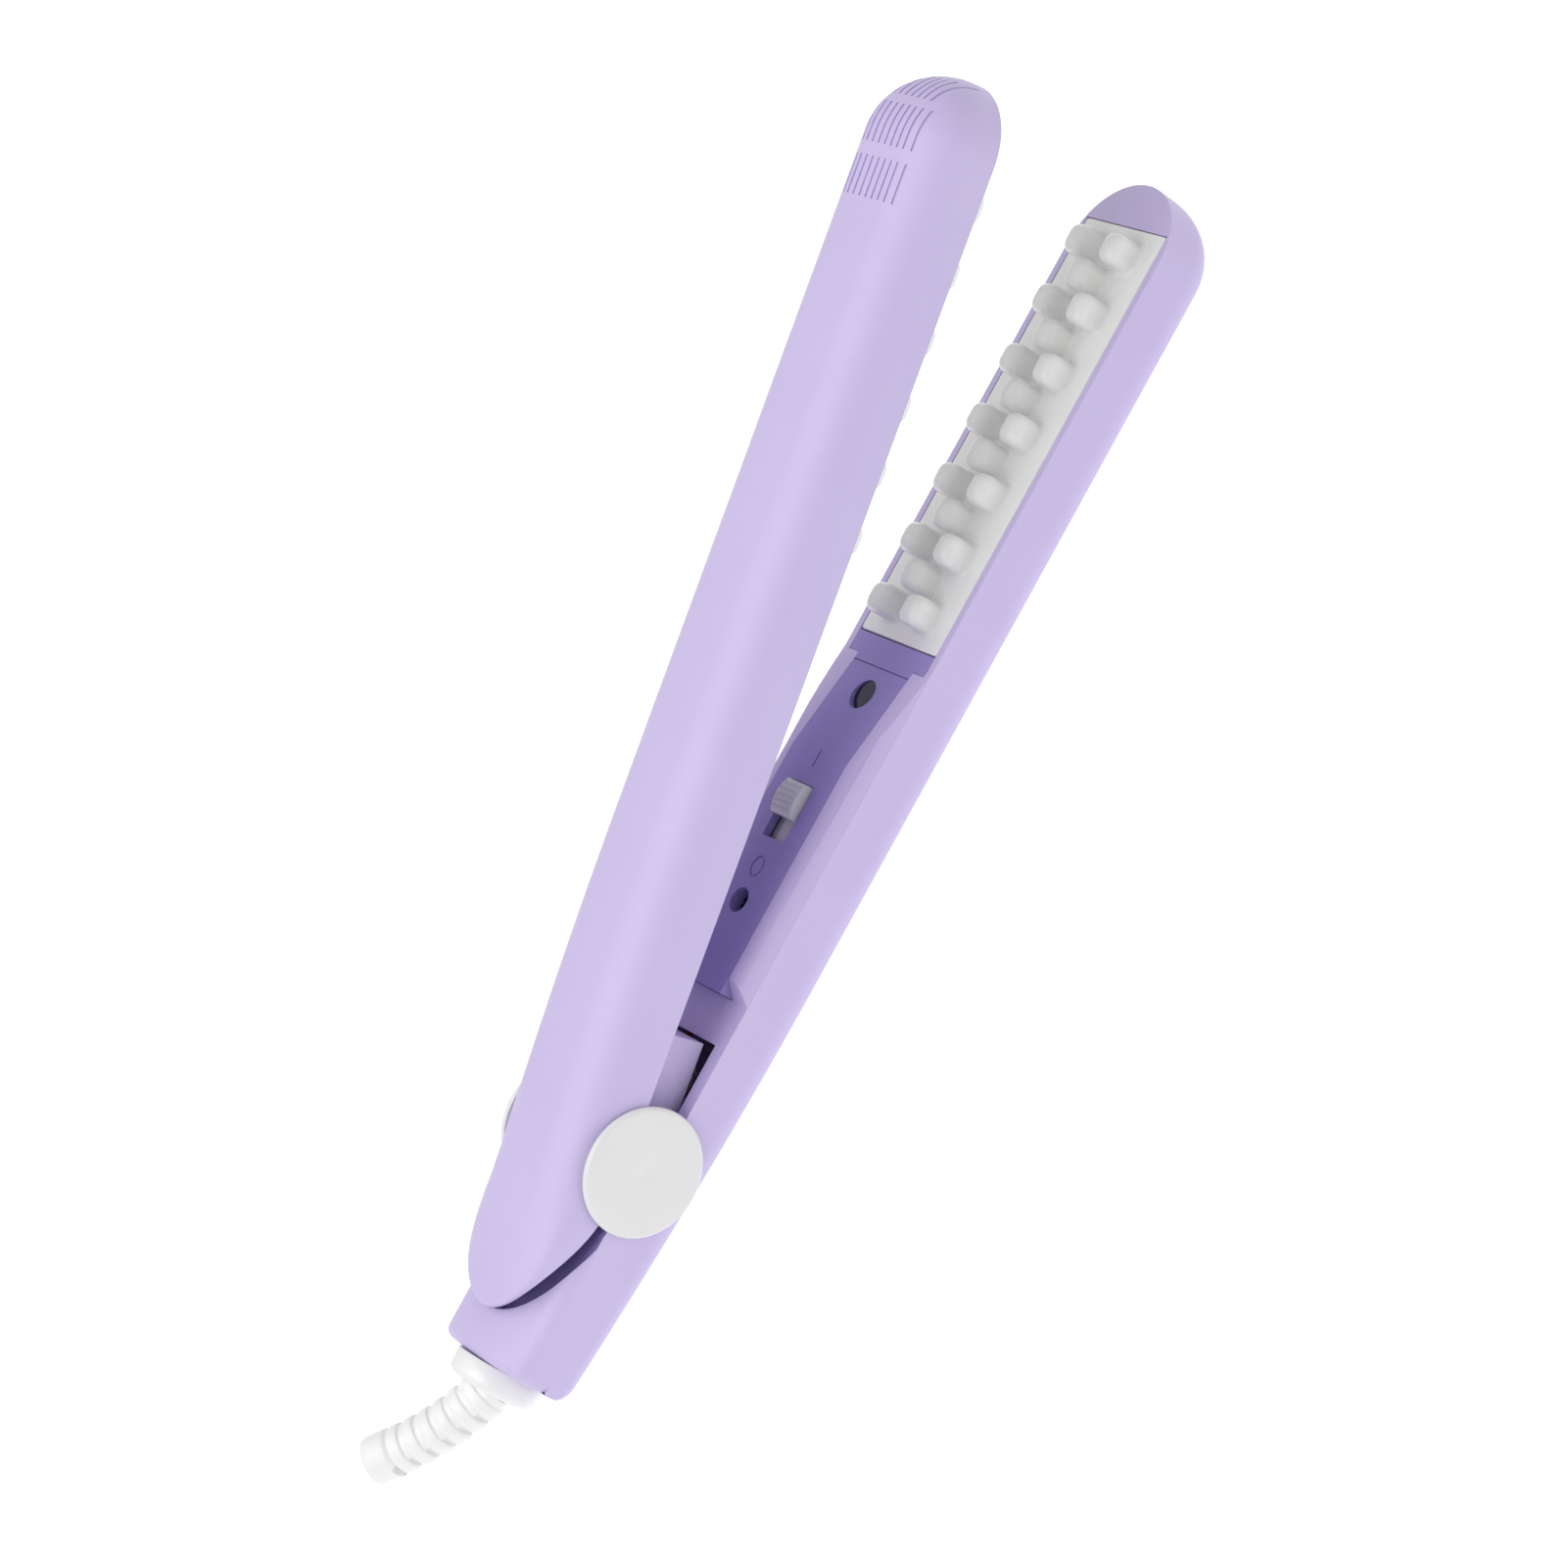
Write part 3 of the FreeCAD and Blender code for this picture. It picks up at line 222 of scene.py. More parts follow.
# Fired glaze over the aluminium plate: hard, white and evenly smooth with a faint orange peel.
GLAZE = moulded(
    "ceramic_glazed_plate_white", "#f3f3f1", "#ebebea", 9.0, 1.1, 0.05, 0.34,
    IOR=1.5, Coat_Weight=0.25, Coat_Roughness=0.18,
)
# Satin ABS: polished in the mould and lightly matted, with a soft wide highlight.
SATIN_ABS = moulded(
    "satin_abs_white", "#e6e6e6", "#dfdfe0", 16.0, 0.30, 0.06, 0.38, IOR=1.49,
)
# Polished ABS: the turning collar, shinier than the cover discs.
GLOSS_ABS = moulded(
    "polished_abs_white", "#f0f0f1", "#e9e9ea", 12.0, 0.40, 0.03, 0.24, IOR=1.49,
)
# Flexible PVC: white, slightly translucent and a little greasy in its shine.
SOFT_PVC = moulded(
    "flexible_pvc_white", "#f2f2f2", "#eaeaea", 8.0, 0.35, 0.08, 0.42,
    IOR=1.53, Subsurface_Weight=0.08, Subsurface_Scale=0.0015,
)
# Acetal: the slider's grip, grey with a dry slippery look.
ACETAL = moulded(
    "acetal_light_grey", "#dcdcdd", "#d0d0d2", 5.0, 0.25, 0.10, 0.42, IOR=1.48,
)
# Glass-filled polyester: black-brown, dull, with short fibres just under its skin.
FILLED_PBT = moulded(
    "glass_filled_pbt_black", "#353235", "#232123", 2.0, 0.25, 0.25, 0.62, IOR=1.57
)
# Phenolic switch case: near black and finely matt.
PHENOLIC = moulded("phenolic_black", "#26262a", "#1c1c1f", 3.0, 0.22, 0.18, 0.5, IOR=1.55)
# Pressed mica: flakes that glint in a dull binder.
MICA = moulded("pressed_mica_board", "#d0bf98", "#9d8a63", 1.1, 0.4, 0.25, 0.4, IOR=1.58)
# Silicone sleeving: red-brown, soft and dull.
SILICONE = moulded("silicone_sleeving_red", "#a63a34", "#8f2d2a", 2.5, 0.3, 0.12, 0.55, IOR=1.41)
# Circuit board: green resist over glass weave.
RESIST = moulded("solder_resist_green", "#226a45", "#174f33", 1.6, 0.35, 0.10, 0.32, IOR=1.52)
# Oil-filled acetal bush: cream and waxy.
BUSH_ACETAL = moulded(
    "oil_filled_acetal_cream", "#e8e3d2", "#ddd6c1", 4.0, 0.3, 0.06, 0.36, IOR=1.48
)
# Black oxide on steel: a thin blue-black layer over a bright metal.
BLACK_OXIDE = moulded(
    "black_oxide_steel", "#2a2836", "#15141d", 1.2, 0.25, 0.15, 0.36, Metallic=0.8,
)
# Fuse sleeve: printed enamel over a drawn steel can.
FUSE_ENAMEL = moulded("fuse_enamel_grey", "#d8d6c8", "#c6c4b4", 3.0, 0.3, 0.08, 0.4, IOR=1.5)
# Smoked acrylic: deep violet, clear and glossy over the unlit lamp.
SMOKED_ACRYLIC = moulded(
    "smoked_acrylic_violet", "#221b46", "#181332", 3.0, 0.6, 0.02, 0.12,
    IOR=1.49, Coat_Weight=0.5, Coat_Roughness=0.05,
)
# Extruded aluminium: heater bodies with faint die lines.
ALUMINIUM = drawn_metal("extruded_aluminium", "#d2d4d8", "#b6b9be", 0.3, 30.0, 0.34, 0.12)
# Spring steel strip and wire: bright, tight lines, a bluish edge.
SPRING_STEEL = drawn_metal("spring_steel_bright", "#c4c6cb", "#9b9da3", 0.2, 14.0, 0.28, 0.10)
# Ground steel: the pin and its washers.
GROUND_STEEL = drawn_metal("ground_steel", "#c9cacd", "#a9aaae", 0.18, 4.0, 0.24, 0.08)
# Spring brass: yellow, with the haze of a handled contact.
BRASS = drawn_metal("contact_brass", "#d9b56a", "#b58f48", 0.25, 3.0, 0.28, 0.08)


# ---------------------------------------------------------------- mesh tools


def block(low, high):
    """A box between two corners."""
    bm = bmesh.new()
    bmesh.ops.create_cube(bm, size=1)
    low, high = Vector(low), Vector(high)
    bmesh.ops.scale(bm, vec=high - low, verts=bm.verts)
    bmesh.ops.translate(bm, vec=(low + high) / 2, verts=bm.verts)
    return bm


AXIS_TURNS = {
    "X": Matrix.Rotation(math.radians(90), 3, "Y"),
    "Y": Matrix.Rotation(math.radians(-90), 3, "X"),
    "Z": Matrix.Identity(3),
}


def rod(axis, middle, radius, length, sides=48):
    """A closed cylinder along an axis, about its middle."""
    bm = bmesh.new()
    bmesh.ops.create_cone(
        bm, cap_ends=True, segments=sides, radius1=radius, radius2=radius, depth=length
    )
    bmesh.ops.rotate(bm, cent=(0, 0, 0), matrix=AXIS_TURNS[axis], verts=bm.verts)
    bmesh.ops.translate(bm, vec=middle, verts=bm.verts)
    return bm


def turned(profile, axis, centre, steps=96):
    """A closed solid spun from (radius, height) points about an axis through centre."""
    bm = bmesh.new()
    points = [bm.verts.new((r, 0, h)) for r, h in profile]
    for a, b in zip(points, points[1:] + points[:1]):
        if not (a.co.x == 0 and b.co.x == 0):
            bm.edges.new((a, b))
    bmesh.ops.spin(
        bm,
        geom=bm.verts[:] + bm.edges[:],
        cent=(0, 0, 0),
        axis=(0, 0, 1),
        angle=math.tau,
        steps=steps,
        use_merge=True,
    )
    bmesh.ops.remove_doubles(bm, verts=bm.verts, dist=0.0005)
    bmesh.ops.rotate(bm, cent=(0, 0, 0), matrix=AXIS_TURNS[axis], verts=bm.verts)
    bmesh.ops.translate(bm, vec=centre, verts=bm.verts)
    bmesh.ops.recalc_face_normals(bm, faces=bm.faces)
    return bm


def joined(*meshes):
    """Several meshes as one, each kept as its own closed shell."""
    result = meshes[0]
    for other in meshes[1:]:
        holder = bpy.data.meshes.new("joining")
        other.to_mesh(holder)
        other.free()
        result.from_mesh(holder)
        bpy.data.meshes.remove(holder)
    return result


def bevelled(bm, chosen, width, segments=3):
    edges = [e for e in bm.edges if chosen(e)]
    bmesh.ops.bevel(
        bm,
        geom=edges,
        offset=width,
        offset_type="OFFSET",
        segments=segments,
        profile=0.5,
        affect="EDGES",
        clamp_overlap=True,
        material=-1,
    )
    return bm


def upright(edge):
    """Whether an edge stands up rather than lying flat."""
    return abs(edge.verts[0].co.z - edge.verts[1].co.z) > 1


def holding(bm):
    """A loose object that holds a mesh while another is carved with it."""
    mesh = bpy.data.meshes.new("holding")
    bm.to_mesh(mesh)
    bm.free()
    obj = bpy.data.objects.new("holding", mesh)
    scene.collection.objects.link(obj)
    return obj


def settled(*held):
    """The first held object's mesh with its modifiers applied, and all of them cleared away."""
    ready = held[0].evaluated_get(bpy.context.evaluated_depsgraph_get())
    mesh = bpy.data.meshes.new_from_object(ready)
    result = bmesh.new()
    result.from_mesh(mesh)
    old_meshes = [obj.data for obj in held] + [mesh]
    for obj in held:
        bpy.data.objects.remove(obj)
    for old in old_meshes:
        bpy.data.meshes.remove(old)
    return result


def carved(bm, tool, operation="DIFFERENCE"):
    """The mesh with the tool's volume taken away, added or kept."""
    base, other = holding(bm), holding(tool)
    modifier = base.modifiers.new("carve", "BOOLEAN")
    modifier.operation = operation
    modifier.solver = "EXACT"
    modifier.object = other
    return settled(base, other)


def thickened(bm, wall):
    """An open skin given its wall, inwards."""
    bmesh.ops.remove_doubles(bm, verts=bm.verts, dist=0.002)
    bmesh.ops.recalc_face_normals(bm, faces=bm.faces)
    base = holding(bm)
    modifier = base.modifiers.new("wall", "SOLIDIFY")
    modifier.thickness = wall
    modifier.offset = -1
    return settled(base)


def slice_along_x(bm, places):
    for x in places:
        everything = bm.verts[:] + bm.edges[:] + bm.faces[:]
        bmesh.ops.bisect_plane(
            bm, geom=everything, dist=0.0001, plane_co=(x, 0, 0), plane_no=(1, 0, 0)
        )


def piece(bm, name, body, material, nodes=(), opened=False, crease=38, bevel=0.0):
    """Make a finished piece of a mesh drawn in millimetres."""
    if opened:
        turn = Matrix.Rotation(-OPEN_ANGLE, 3, "Y")
        bmesh.ops.rotate(bm, cent=HINGE, matrix=turn, verts=bm.verts)
    bmesh.ops.scale(bm, vec=(MM, MM, MM), verts=bm.verts)
    mesh = bpy.data.meshes.new(name)
    bm.to_mesh(mesh)
    bm.free()
    mesh.materials.append(material)
    mesh.shade_smooth()
    mesh.set_sharp_from_angle(angle=math.radians(crease))
    obj = bpy.data.objects.new(name, mesh)
    scene.collection.objects.link(obj)
    if bevel:
        edge = obj.modifiers.new("edge", "BEVEL")
        edge.width = bevel * MM
        edge.segments = 3
        edge.limit_method = "ANGLE"
        edge.angle_limit = math.radians(35)
        edge.harden_normals = True
    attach(obj, body)
    if nodes:
        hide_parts(*nodes)
    return obj


# ---------------------------------------------------------------- the two arms

NOSE = 14.5
NOSE_LEVEL = 11.0
WALL = 1.6


def nose_share(x):
    """1 along an arm, falling to 0 at the tip of its nose."""
    ahead = max(0.0, x - (TIP - NOSE)) / NOSE
    return math.sqrt(max(0.0, 1 - ahead**2))


def quarter(start, reach, count=12):
    """Places that crowd together towards start + reach, as round a quarter circle."""
    return [start + reach * math.sin(math.radians(90 * i / count)) for i in range(count)]


def bar(back, front, low, high, corner, on_top, places):
    """A long bar with two rounded edges, sliced where its shape will change."""
    bm = block((back, -HALF_WIDTH, low), (front, HALF_WIDTH, high))
    middle = (low + high) / 2

    def rounded(edge):
        a, b = (v.co for v in edge.verts)
        return abs(a.x - b.x) > 1 and (a.z > middle) == on_top

    bevelled(bm, rounded, corner, 14)
    slice_along_x(bm, places)
    return bm


def open_side(bm, level):
    """Take away the faces that lie flat at that height, to open the bar into a trough."""
    flat = [f for f in bm.faces if all(abs(v.co.z - level) < 0.001 for v in f.verts)]
    bmesh.ops.delete(bm, geom=flat, context="FACES")


TAIL_LIFT = 5.0
LIFT_START = -55.0
END_ROUND = 3.5


def make_lower_casing():
    """The tub of the lower arm: straight underneath, lifting a little to the tail."""
    ends = quarter(TIP - NOSE, NOSE) + quarter(TAIL + END_ROUND, -END_ROUND, 6)
    places = ends + [TAIL + 4 * i for i in range(1, 24)] + [20.0 * i for i in range(-2, 5)]
    bm = bar(TAIL, TIP, 0.0, SEAM, 7.5, False, places)
    for v in bm.verts:
        share = nose_share(v.co.x)
        v.co.y *= share
        if v.co.z < NOSE_LEVEL:
            v.co.z = NOSE_LEVEL - (NOSE_LEVEL - v.co.z) * share
        above = 1 - v.co.z / SEAM
        run = max(0.0, LIFT_START - v.co.x) / (LIFT_START - TAIL)
        ending = max(0.0, TAIL + END_ROUND - v.co.x) / END_ROUND
        lift = TAIL_LIFT * run**2 + END_ROUND * (1 - math.sqrt(max(0.0, 1 - ending**2)))
        v.co.z += lift * above
    open_side(bm, SEAM)
    bm = thickened(bm, WALL)
    return piece(
        bm, "lower_casing", "lower_arm", SOFT_COAT, ["lower_shell"], crease=50
    )


UPPER_TAIL = -139.0
UPPER_RISE = 15.0
TAIL_PLAN = 21.5
BOW_START = -40.0
BOW_DROP = 4.4
EDGE_START = -109.0
EDGE_RISE = 9.4
NOSE_EDGE = 2.5
NOTCH_RADIUS = 8.6


def upper_top(x):
    """Height of the upper arm's back above its rim."""
    behind = max(0.0, TAIL_PLAN + UPPER_TAIL - x) / TAIL_PLAN
    run = max(0.0, BOW_START - x) / (BOW_START - UPPER_TAIL)
    top = UPPER_RISE - BOW_DROP * run**2 - 0.5 * behind**4
    return NOSE_EDGE + (top - NOSE_EDGE) * nose_share(x)


def upper_edge(x):
    """How far the rim of the upper arm rises towards its tail."""
    run = min(1.0, max(0.0, EDGE_START - x) / (EDGE_START - UPPER_TAIL))
    return EDGE_RISE * (1 - math.cos(math.pi * run)) / 2


def upper_skin(inset):
    """The outer form of the upper arm as a closed bar, drawn in by an inset."""
    ends = quarter(TIP - NOSE, NOSE, 16) + quarter(UPPER_TAIL + TAIL_PLAN, -TAIL_PLAN, 18)
    places = ends + [BOW_START - 5 * i for i in range(16)] + [20.0 * i for i in range(-1, 5)]
    bm = bar(UPPER_TAIL, TIP, 0.0, UPPER_RISE, 10.0, True, places)
    bmesh.ops.subdivide_edges(
        bm,
        edges=[e for e in bm.edges if abs(e.verts[0].co.z - e.verts[1].co.z) > 4],
        cuts=3,
        use_grid_fill=True,
    )
    for v in bm.verts:
        x, rise = v.co.x, v.co.z / UPPER_RISE
        behind = max(0.0, TAIL_PLAN + UPPER_TAIL - x) / TAIL_PLAN
        v.co.y *= nose_share(x) * math.sqrt(max(0.0, 1 - behind**2)) * (1 - inset / HALF_WIDTH)
        edge = upper_edge(x)
        v.co.z = UPPER_RIM + edge + rise * (upper_top(x) - edge - inset)
        v.co.x -= inset * max(0.0, x - TIP + NOSE) / NOSE
    return bm


def make_upper_casing():
    """The back of the upper arm, a long hollow shell with a round nose and a pointed tail."""
    bm = upper_skin(0.0)

    def on_rim(vertex):
        return vertex.co.z - UPPER_RIM - upper_edge(vertex.co.x) < 0.001

    underside = [f for f in bm.faces if all(on_rim(v) for v in f.verts)]
    bmesh.ops.delete(bm, geom=underside, context="FACES")
    bm = thickened(bm, WALL)
    bm = carved(bm, rod("Y", HINGE, NOTCH_RADIUS, 60, 96))
    bm = carved(bm, vent_grooves())
    return piece(
        bm, "upper_casing", "upper_arm", SOFT_COAT, ["upper_shell"], True, crease=50
    )


VENT_ROWS = ((82.5, 90.5, 4), (93.0, 101.5, 4), (103.2, 108.6, 3))
VENT_PITCH = 2.1
VENT_WIDTH = 0.62
VENT_DEPTH = 0.3


def vent_grooves():
    """Blind cooling grooves in three rows over the tip, as the volume to take away."""
    lines = []
    for start, end, count in VENT_ROWS:
        for i in range(-count, count + 1):
            low = (start, i * VENT_PITCH - VENT_WIDTH / 2, UPPER_RIM + 2)
            line = block(low, (end, i * VENT_PITCH + VENT_WIDTH / 2, UPPER_RIM + 20))
            lines.append(bevelled(line, upright, VENT_WIDTH * 0.45, 3))
    return carved(joined(*lines), upper_skin(VENT_DEPTH))


def cleaned_copy(node):
    """A copy of a designed part in millimetres, with its flat faces whole."""
    bm = bmesh.new()
    bm.from_mesh(frame["nodes"][node].data)
    bmesh.ops.scale(bm, vec=(1 / MM,) * 3, verts=bm.verts)
    bmesh.ops.remove_doubles(bm, verts=bm.verts, dist=0.002)
    bmesh.ops.dissolve_limit(
        bm, angle_limit=math.radians(1.0), verts=bm.verts, edges=bm.edges, delimit=set()
    )
    return bm


NOSE_RIM_ROUND = 1.3
TAIL_RIM_ROUND = 2.0
NECK_CLEARANCE = 7.5
BAY_BACK = -141.0
BAY_HALF_WIDTH = 13.45
BAY_TOP = 19.4


def make_frames():
    """The inner decks of both arms, with every moulded edge eased."""
    lower = cleaned_copy("lower_frame")

    def on_nose_rim(edge):
        return all(
            abs(v.co.z - RIM) < 0.02
            and v.co.x > TIP - NOSE + 0.3
            and abs(abs(v.co.y) - HALF_WIDTH * nose_share(v.co.x)) < 0.15
            for v in edge.verts
        )

    def on_tail_rim(edge):
        return all(
            abs(v.co.x - TAIL) < 0.05
            and v.co.z > SEAM
            and math.hypot(v.co.y, v.co.z - SWIVEL_HEIGHT) > NECK_CLEARANCE
            for v in edge.verts
        )

    bevelled(lower, on_nose_rim, NOSE_RIM_ROUND, 4)
    bevelled(lower, on_tail_rim, TAIL_RIM_ROUND, 4)
    deck = piece(
        lower, "lower_deck", "lower_arm", SOFT_COAT, ["lower_frame"], bevel=0.3
    )
    # Faces inside the hinge bay and tail cup, behind the inlay, take the darker violet as painted
    # shade of that recess.
    deck.data.materials.append(VIOLET_ABS_AND_PAINTED_SHADE)
    for face in deck.data.polygons:
        x, y, z = face.center / MM
        if BAY_BACK < x < LINER_BACK - 0.2 and abs(y) < BAY_HALF_WIDTH and z < BAY_TOP:
            face.material_index = 1
    piece(
        cleaned_copy("upper_frame"), "upper_deck", "upper_arm", SOFT_COAT,
        ["upper_frame"], bevel=0.3,
    )


# ---------------------------------------------------------------- peg plates

PLATE_BACK = 8.6
PLATE_FRONT = 100.8
PLATE_HALF_WIDTH = 13.2
PLATE_THICKNESS = 2.0
PEG_PITCH = 13.3
ROW_PITCH = 5.8
PEG_SIZE = Vector((6.3, 5.4, 6.5))
PEG_ROUND = 2.55
PEG_CORNER = 1.7
FOOT = 1.1


def one_peg():
    """A stubby peg with a domed top and a foot that flares into the plate."""
    half_x, half_y, top = PEG_SIZE.x / 2, PEG_SIZE.y / 2, PEG_SIZE.z
    bm = block((-half_x, -half_y, -0.2), (half_x, half_y, top))
    bevelled(bm, upright, PEG_CORNER, 5)
    dome = [top - PEG_ROUND * (1 - math.sin(math.radians(90 * i / 8))) for i in range(8)]
    for height in (0.0, 0.12, 0.3, 0.6, FOOT, *dome):
        everything = bm.verts[:] + bm.edges[:] + bm.faces[:]
        bmesh.ops.bisect_plane(
            bm, geom=everything, dist=0.0001, plane_co=(0, 0, height), plane_no=(0, 0, 1)
        )
    for v in bm.verts:
        low = min(1.0, max(0.0, 1 - v.co.z / FOOT))
        high = min(1.0, max(0.0, 1 - (top - v.co.z) / PEG_ROUND))
        grow = 0.8 * FOOT * (1 - math.sqrt(1 - low**2)) - PEG_ROUND * (1 - math.sqrt(1 - high**2))
        v.co.x *= 1 + grow / half_x
        v.co.y *= 1 + grow / half_y
    return bm


def plate_mesh(row_counts):
    """A plate face up at height zero, with its rows of pegs."""
    low = (PLATE_BACK, -PLATE_HALF_WIDTH, -PLATE_THICKNESS)
    plate = block(low, (PLATE_FRONT, PLATE_HALF_WIDTH, 0))
    bevelled(plate, upright, 0.7, 4)
    bevelled(plate, lambda e: min(v.co.z for v in e.verts) > -0.01, 0.35, 3)
    middle = (PLATE_BACK + PLATE_FRONT) / 2
    pegs = []
    for row, count in zip((-1, 0, 1), row_counts):
        for i in range(count):
            peg = one_peg()
            x = middle + (i - (count - 1) / 2) * PEG_PITCH
            bmesh.ops.translate(peg, vec=(x, row * ROW_PITCH, 0), verts=peg.verts)
            pegs.append(peg)
    return joined(plate, *pegs)


def make_plates():
    bm = plate_mesh((7, 6, 7))
    bmesh.ops.translate(bm, vec=(0, 0, RIM), verts=bm.verts)
    piece(bm, "lower_plate", "lower_arm", GLAZE, ["lower_peg_plate"], crease=45)
    bm = plate_mesh((6, 7, 6))
    half_turn = Matrix.Rotation(math.pi, 3, "X")
    bmesh.ops.rotate(bm, cent=(0, 0, 0), matrix=half_turn, verts=bm.verts)
    bmesh.ops.translate(bm, vec=(0, 0, UPPER_RIM), verts=bm.verts)
    piece(
        bm, "upper_plate", "upper_arm", GLAZE, ["upper_peg_plate"], True, crease=45
    )


# ---------------------------------------------------------------- handle

LINER_BACK = -67.4
LINER_FRONT = 8.3
LINER_HALF_WIDTH = 9.5
LINER_SKIN = 1.8
RAMP_FRONT = 5.0
RAMP_BACK = -18.0
TONGUE_HALF_WIDTH = 13.2
LAMP_X = -3.6
SLOT = (-36.4, -24.2, 3.8)
SCREW_X = -49.8
SCREW_SEAT = 14.4


def make_liner():
    """The dark inlay of the handle, with its lamp hole, switch slot, screw well and marks; its
    darker violet is partly painted shade from the upper arm above it.
    """
    plate = block((LINER_BACK, -LINER_HALF_WIDTH, 0), (LINER_FRONT, LINER_HALF_WIDTH, LINER_SKIN))
    slice_along_x(plate, (RAMP_FRONT, RAMP_BACK))
    for v in plate.verts:
        rise = min(1.0, max(0.0, (RAMP_FRONT - v.co.x) / (RAMP_FRONT - RAMP_BACK)))
        v.co.z += RIM - LINER_SKIN + rise * (PLATFORM - RIM)
    skirt = block((LINER_BACK, -LINER_HALF_WIDTH, 13.2), (LINER_BACK + 2, LINER_HALF_WIDTH, 17.5))
    tongue = block((4.1, -TONGUE_HALF_WIDTH, 13.2), (LINER_FRONT, TONGUE_HALF_WIDTH, RIM))
    boss = rod("Z", (SCREW_X, 0, 15.0), 3.4, 4.0)
    bm = plate
    for solid in (skirt, tongue, boss):
        bm = carved(bm, solid, "UNION")
    back, front, half = SLOT
    zero = turned([(1.45, 18.15), (1.85, 18.15), (1.85, 19), (1.45, 19)], "Z", (-42.5, 0, 0), 48)
    bmesh.ops.scale(
        zero, vec=(1.25, 1, 1), space=Matrix.Translation((42.5, 0, 0)), verts=zero.verts
    )
    for hole in (
        rod("Z", (LAMP_X, 0, 16), 3.25, 8, 64),
        block((back, -half, 10), (front, half, 22)),
        rod("Z", (SCREW_X, 0, SCREW_SEAT + 4), 2.6, 8, 64),
        rod("Z", (SCREW_X, 0, 14), 1.1, 8),
        block((-20.5, -0.22, 18.15), (-16.9, 0.22, 19)),
        block((2.3, -14, 14.9), (2.6, 14, 17)),
        zero,
    ):
        bm = carved(bm, hole)
    piece(
        bm, "handle_inlay", "lower_arm", VIOLET_ABS_AND_PAINTED_SHADE, ["handle_liner"], bevel=0.18
    )


KNOB_FRONT = -24.45
KNOB_LENGTH = 7.3
KNOB_HALF_WIDTH = 3.55
KNOB_TOP = 20.7
SLIDER_TOP = 16.45
SLIDER_BOTTOM = 15.65


def make_knob():
    """The switch's grip, humped and ribbed, on its slider in the slot."""
    back = KNOB_FRONT - KNOB_LENGTH
    low, high = (back, -KNOB_HALF_WIDTH, SLIDER_TOP - 0.2), (KNOB_FRONT, KNOB_HALF_WIDTH, KNOB_TOP)
    grip = block(low, high)
    slices = 10
    slice_along_x(grip, [back + KNOB_LENGTH * i / slices for i in range(1, slices)])
    for v in grip.verts:
        if v.co.z > SLIDER_TOP:
            along = 2 * (v.co.x - back) / KNOB_LENGTH - 1
            v.co.z -= 0.9 * along**2

    def on_top_side(edge):
        on_side = all(abs(abs(v.co.y) - KNOB_HALF_WIDTH) < 0.01 for v in edge.verts)
        return on_side and min(v.co.z for v in edge.verts) > 17

    bevelled(grip, on_top_side, 0.5, 3)
    ribs = []
    for i in range(5):
        x = back + KNOB_LENGTH * (i + 1) / 6
        along = 2 * (x - back) / KNOB_LENGTH - 1
        ribs.append(rod("Y", (x, 0, KNOB_TOP - 0.9 * along**2 + 0.12), 0.3, 5.6, 16))
    grip = carved(grip, joined(*ribs))
    middle = (SLOT[0] + SLOT[1]) / 2
    start, end = middle - 9.75, middle + 11.75
    base = block((start, -4.5, SLIDER_BOTTOM), (end, 1.9, SLIDER_TOP))
    step = block((start, 1.9, SLIDER_BOTTOM), (end, 4.5, SLIDER_TOP - 0.6))
    stem_x = KNOB_FRONT - KNOB_LENGTH / 2
    stem = block((stem_x - 1.2, -1.2, 13.85), (stem_x + 1.2, 1.2, SLIDER_TOP))
    piece(
        joined(grip, base, step, stem), "switch_grip", "switch", ACETAL,
        ["switch_knob"], crease=30,
    )


def make_spring():
    """The coil under the upper arm, which shortens as the arms close; here it keeps its designed
    shape and rides with the lower arm.
    """
    coil = cleaned_copy("return_spring")
    spring = piece(
        coil, "coil_spring", "lower_arm", SPRING_STEEL, ["return_spring"]
    )
    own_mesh(spring)


# ---------------------------------------------------------------- hinge covers and swivel


def cover_profile(hand):
    """Half section of a hinge cover: boss, flat back, eased rim and a faint centre dimple."""
    points = [(0, 15.0), (7.0, 15.0), (7.0, 15.3), (12.75, 15.3)]
    for i in range(9):
        angle = math.radians(-15 + 105 * i / 8)
        points.append((12.0 + 1.0 * math.cos(angle), 15.85 + 1.0 * math.sin(angle)))
    points += [(8.0, 16.9), (2.5, 16.9), (2.1, 16.87), (1.6, 16.78), (1.0, 16.71), (0, 16.68)]
    return [(r, hand * y) for r, y in points]


def make_covers():
    for name, node, hand in (
        ("hinge_cover_near", "hinge_cap_near", -1),
        ("hinge_cover_far", "hinge_cap_far", 1),
    ):
        bm = turned(cover_profile(hand), "Y", (HINGE.x, 0, HINGE.z), 128)
        piece(bm, name, "lower_arm", SATIN_ABS, [node], crease=50)


SWIVEL_HEIGHT = 14.2
HUB_BACK = -155.2


def make_hub():
    """The turning collar: a rounded disc outside the tail and a flange inside it."""
    points = [(3.0, HUB_BACK), (7.4, HUB_BACK)]
    for i in range(7):
        angle = math.radians(90 * i / 6)
        points.append((7.4 + 1.8 * math.sin(angle), HUB_BACK + 1.8 * (1 - math.cos(angle))))
    points += [(9.2, -150.5), (8.95, -150.15), (5.9, -150.15), (5.9, -146.85), (6.8, -146.85)]
    points += [(6.8, -145.55), (4.2, -145.55), (4.2, -142.05), (3.0, -142.05)]
    bm = turned(points, "X", (0, 0, SWIVEL_HEIGHT), 96)
    piece(bm, "swivel_collar", "swivel", GLOSS_ABS, ["swivel_hub"], crease=50)


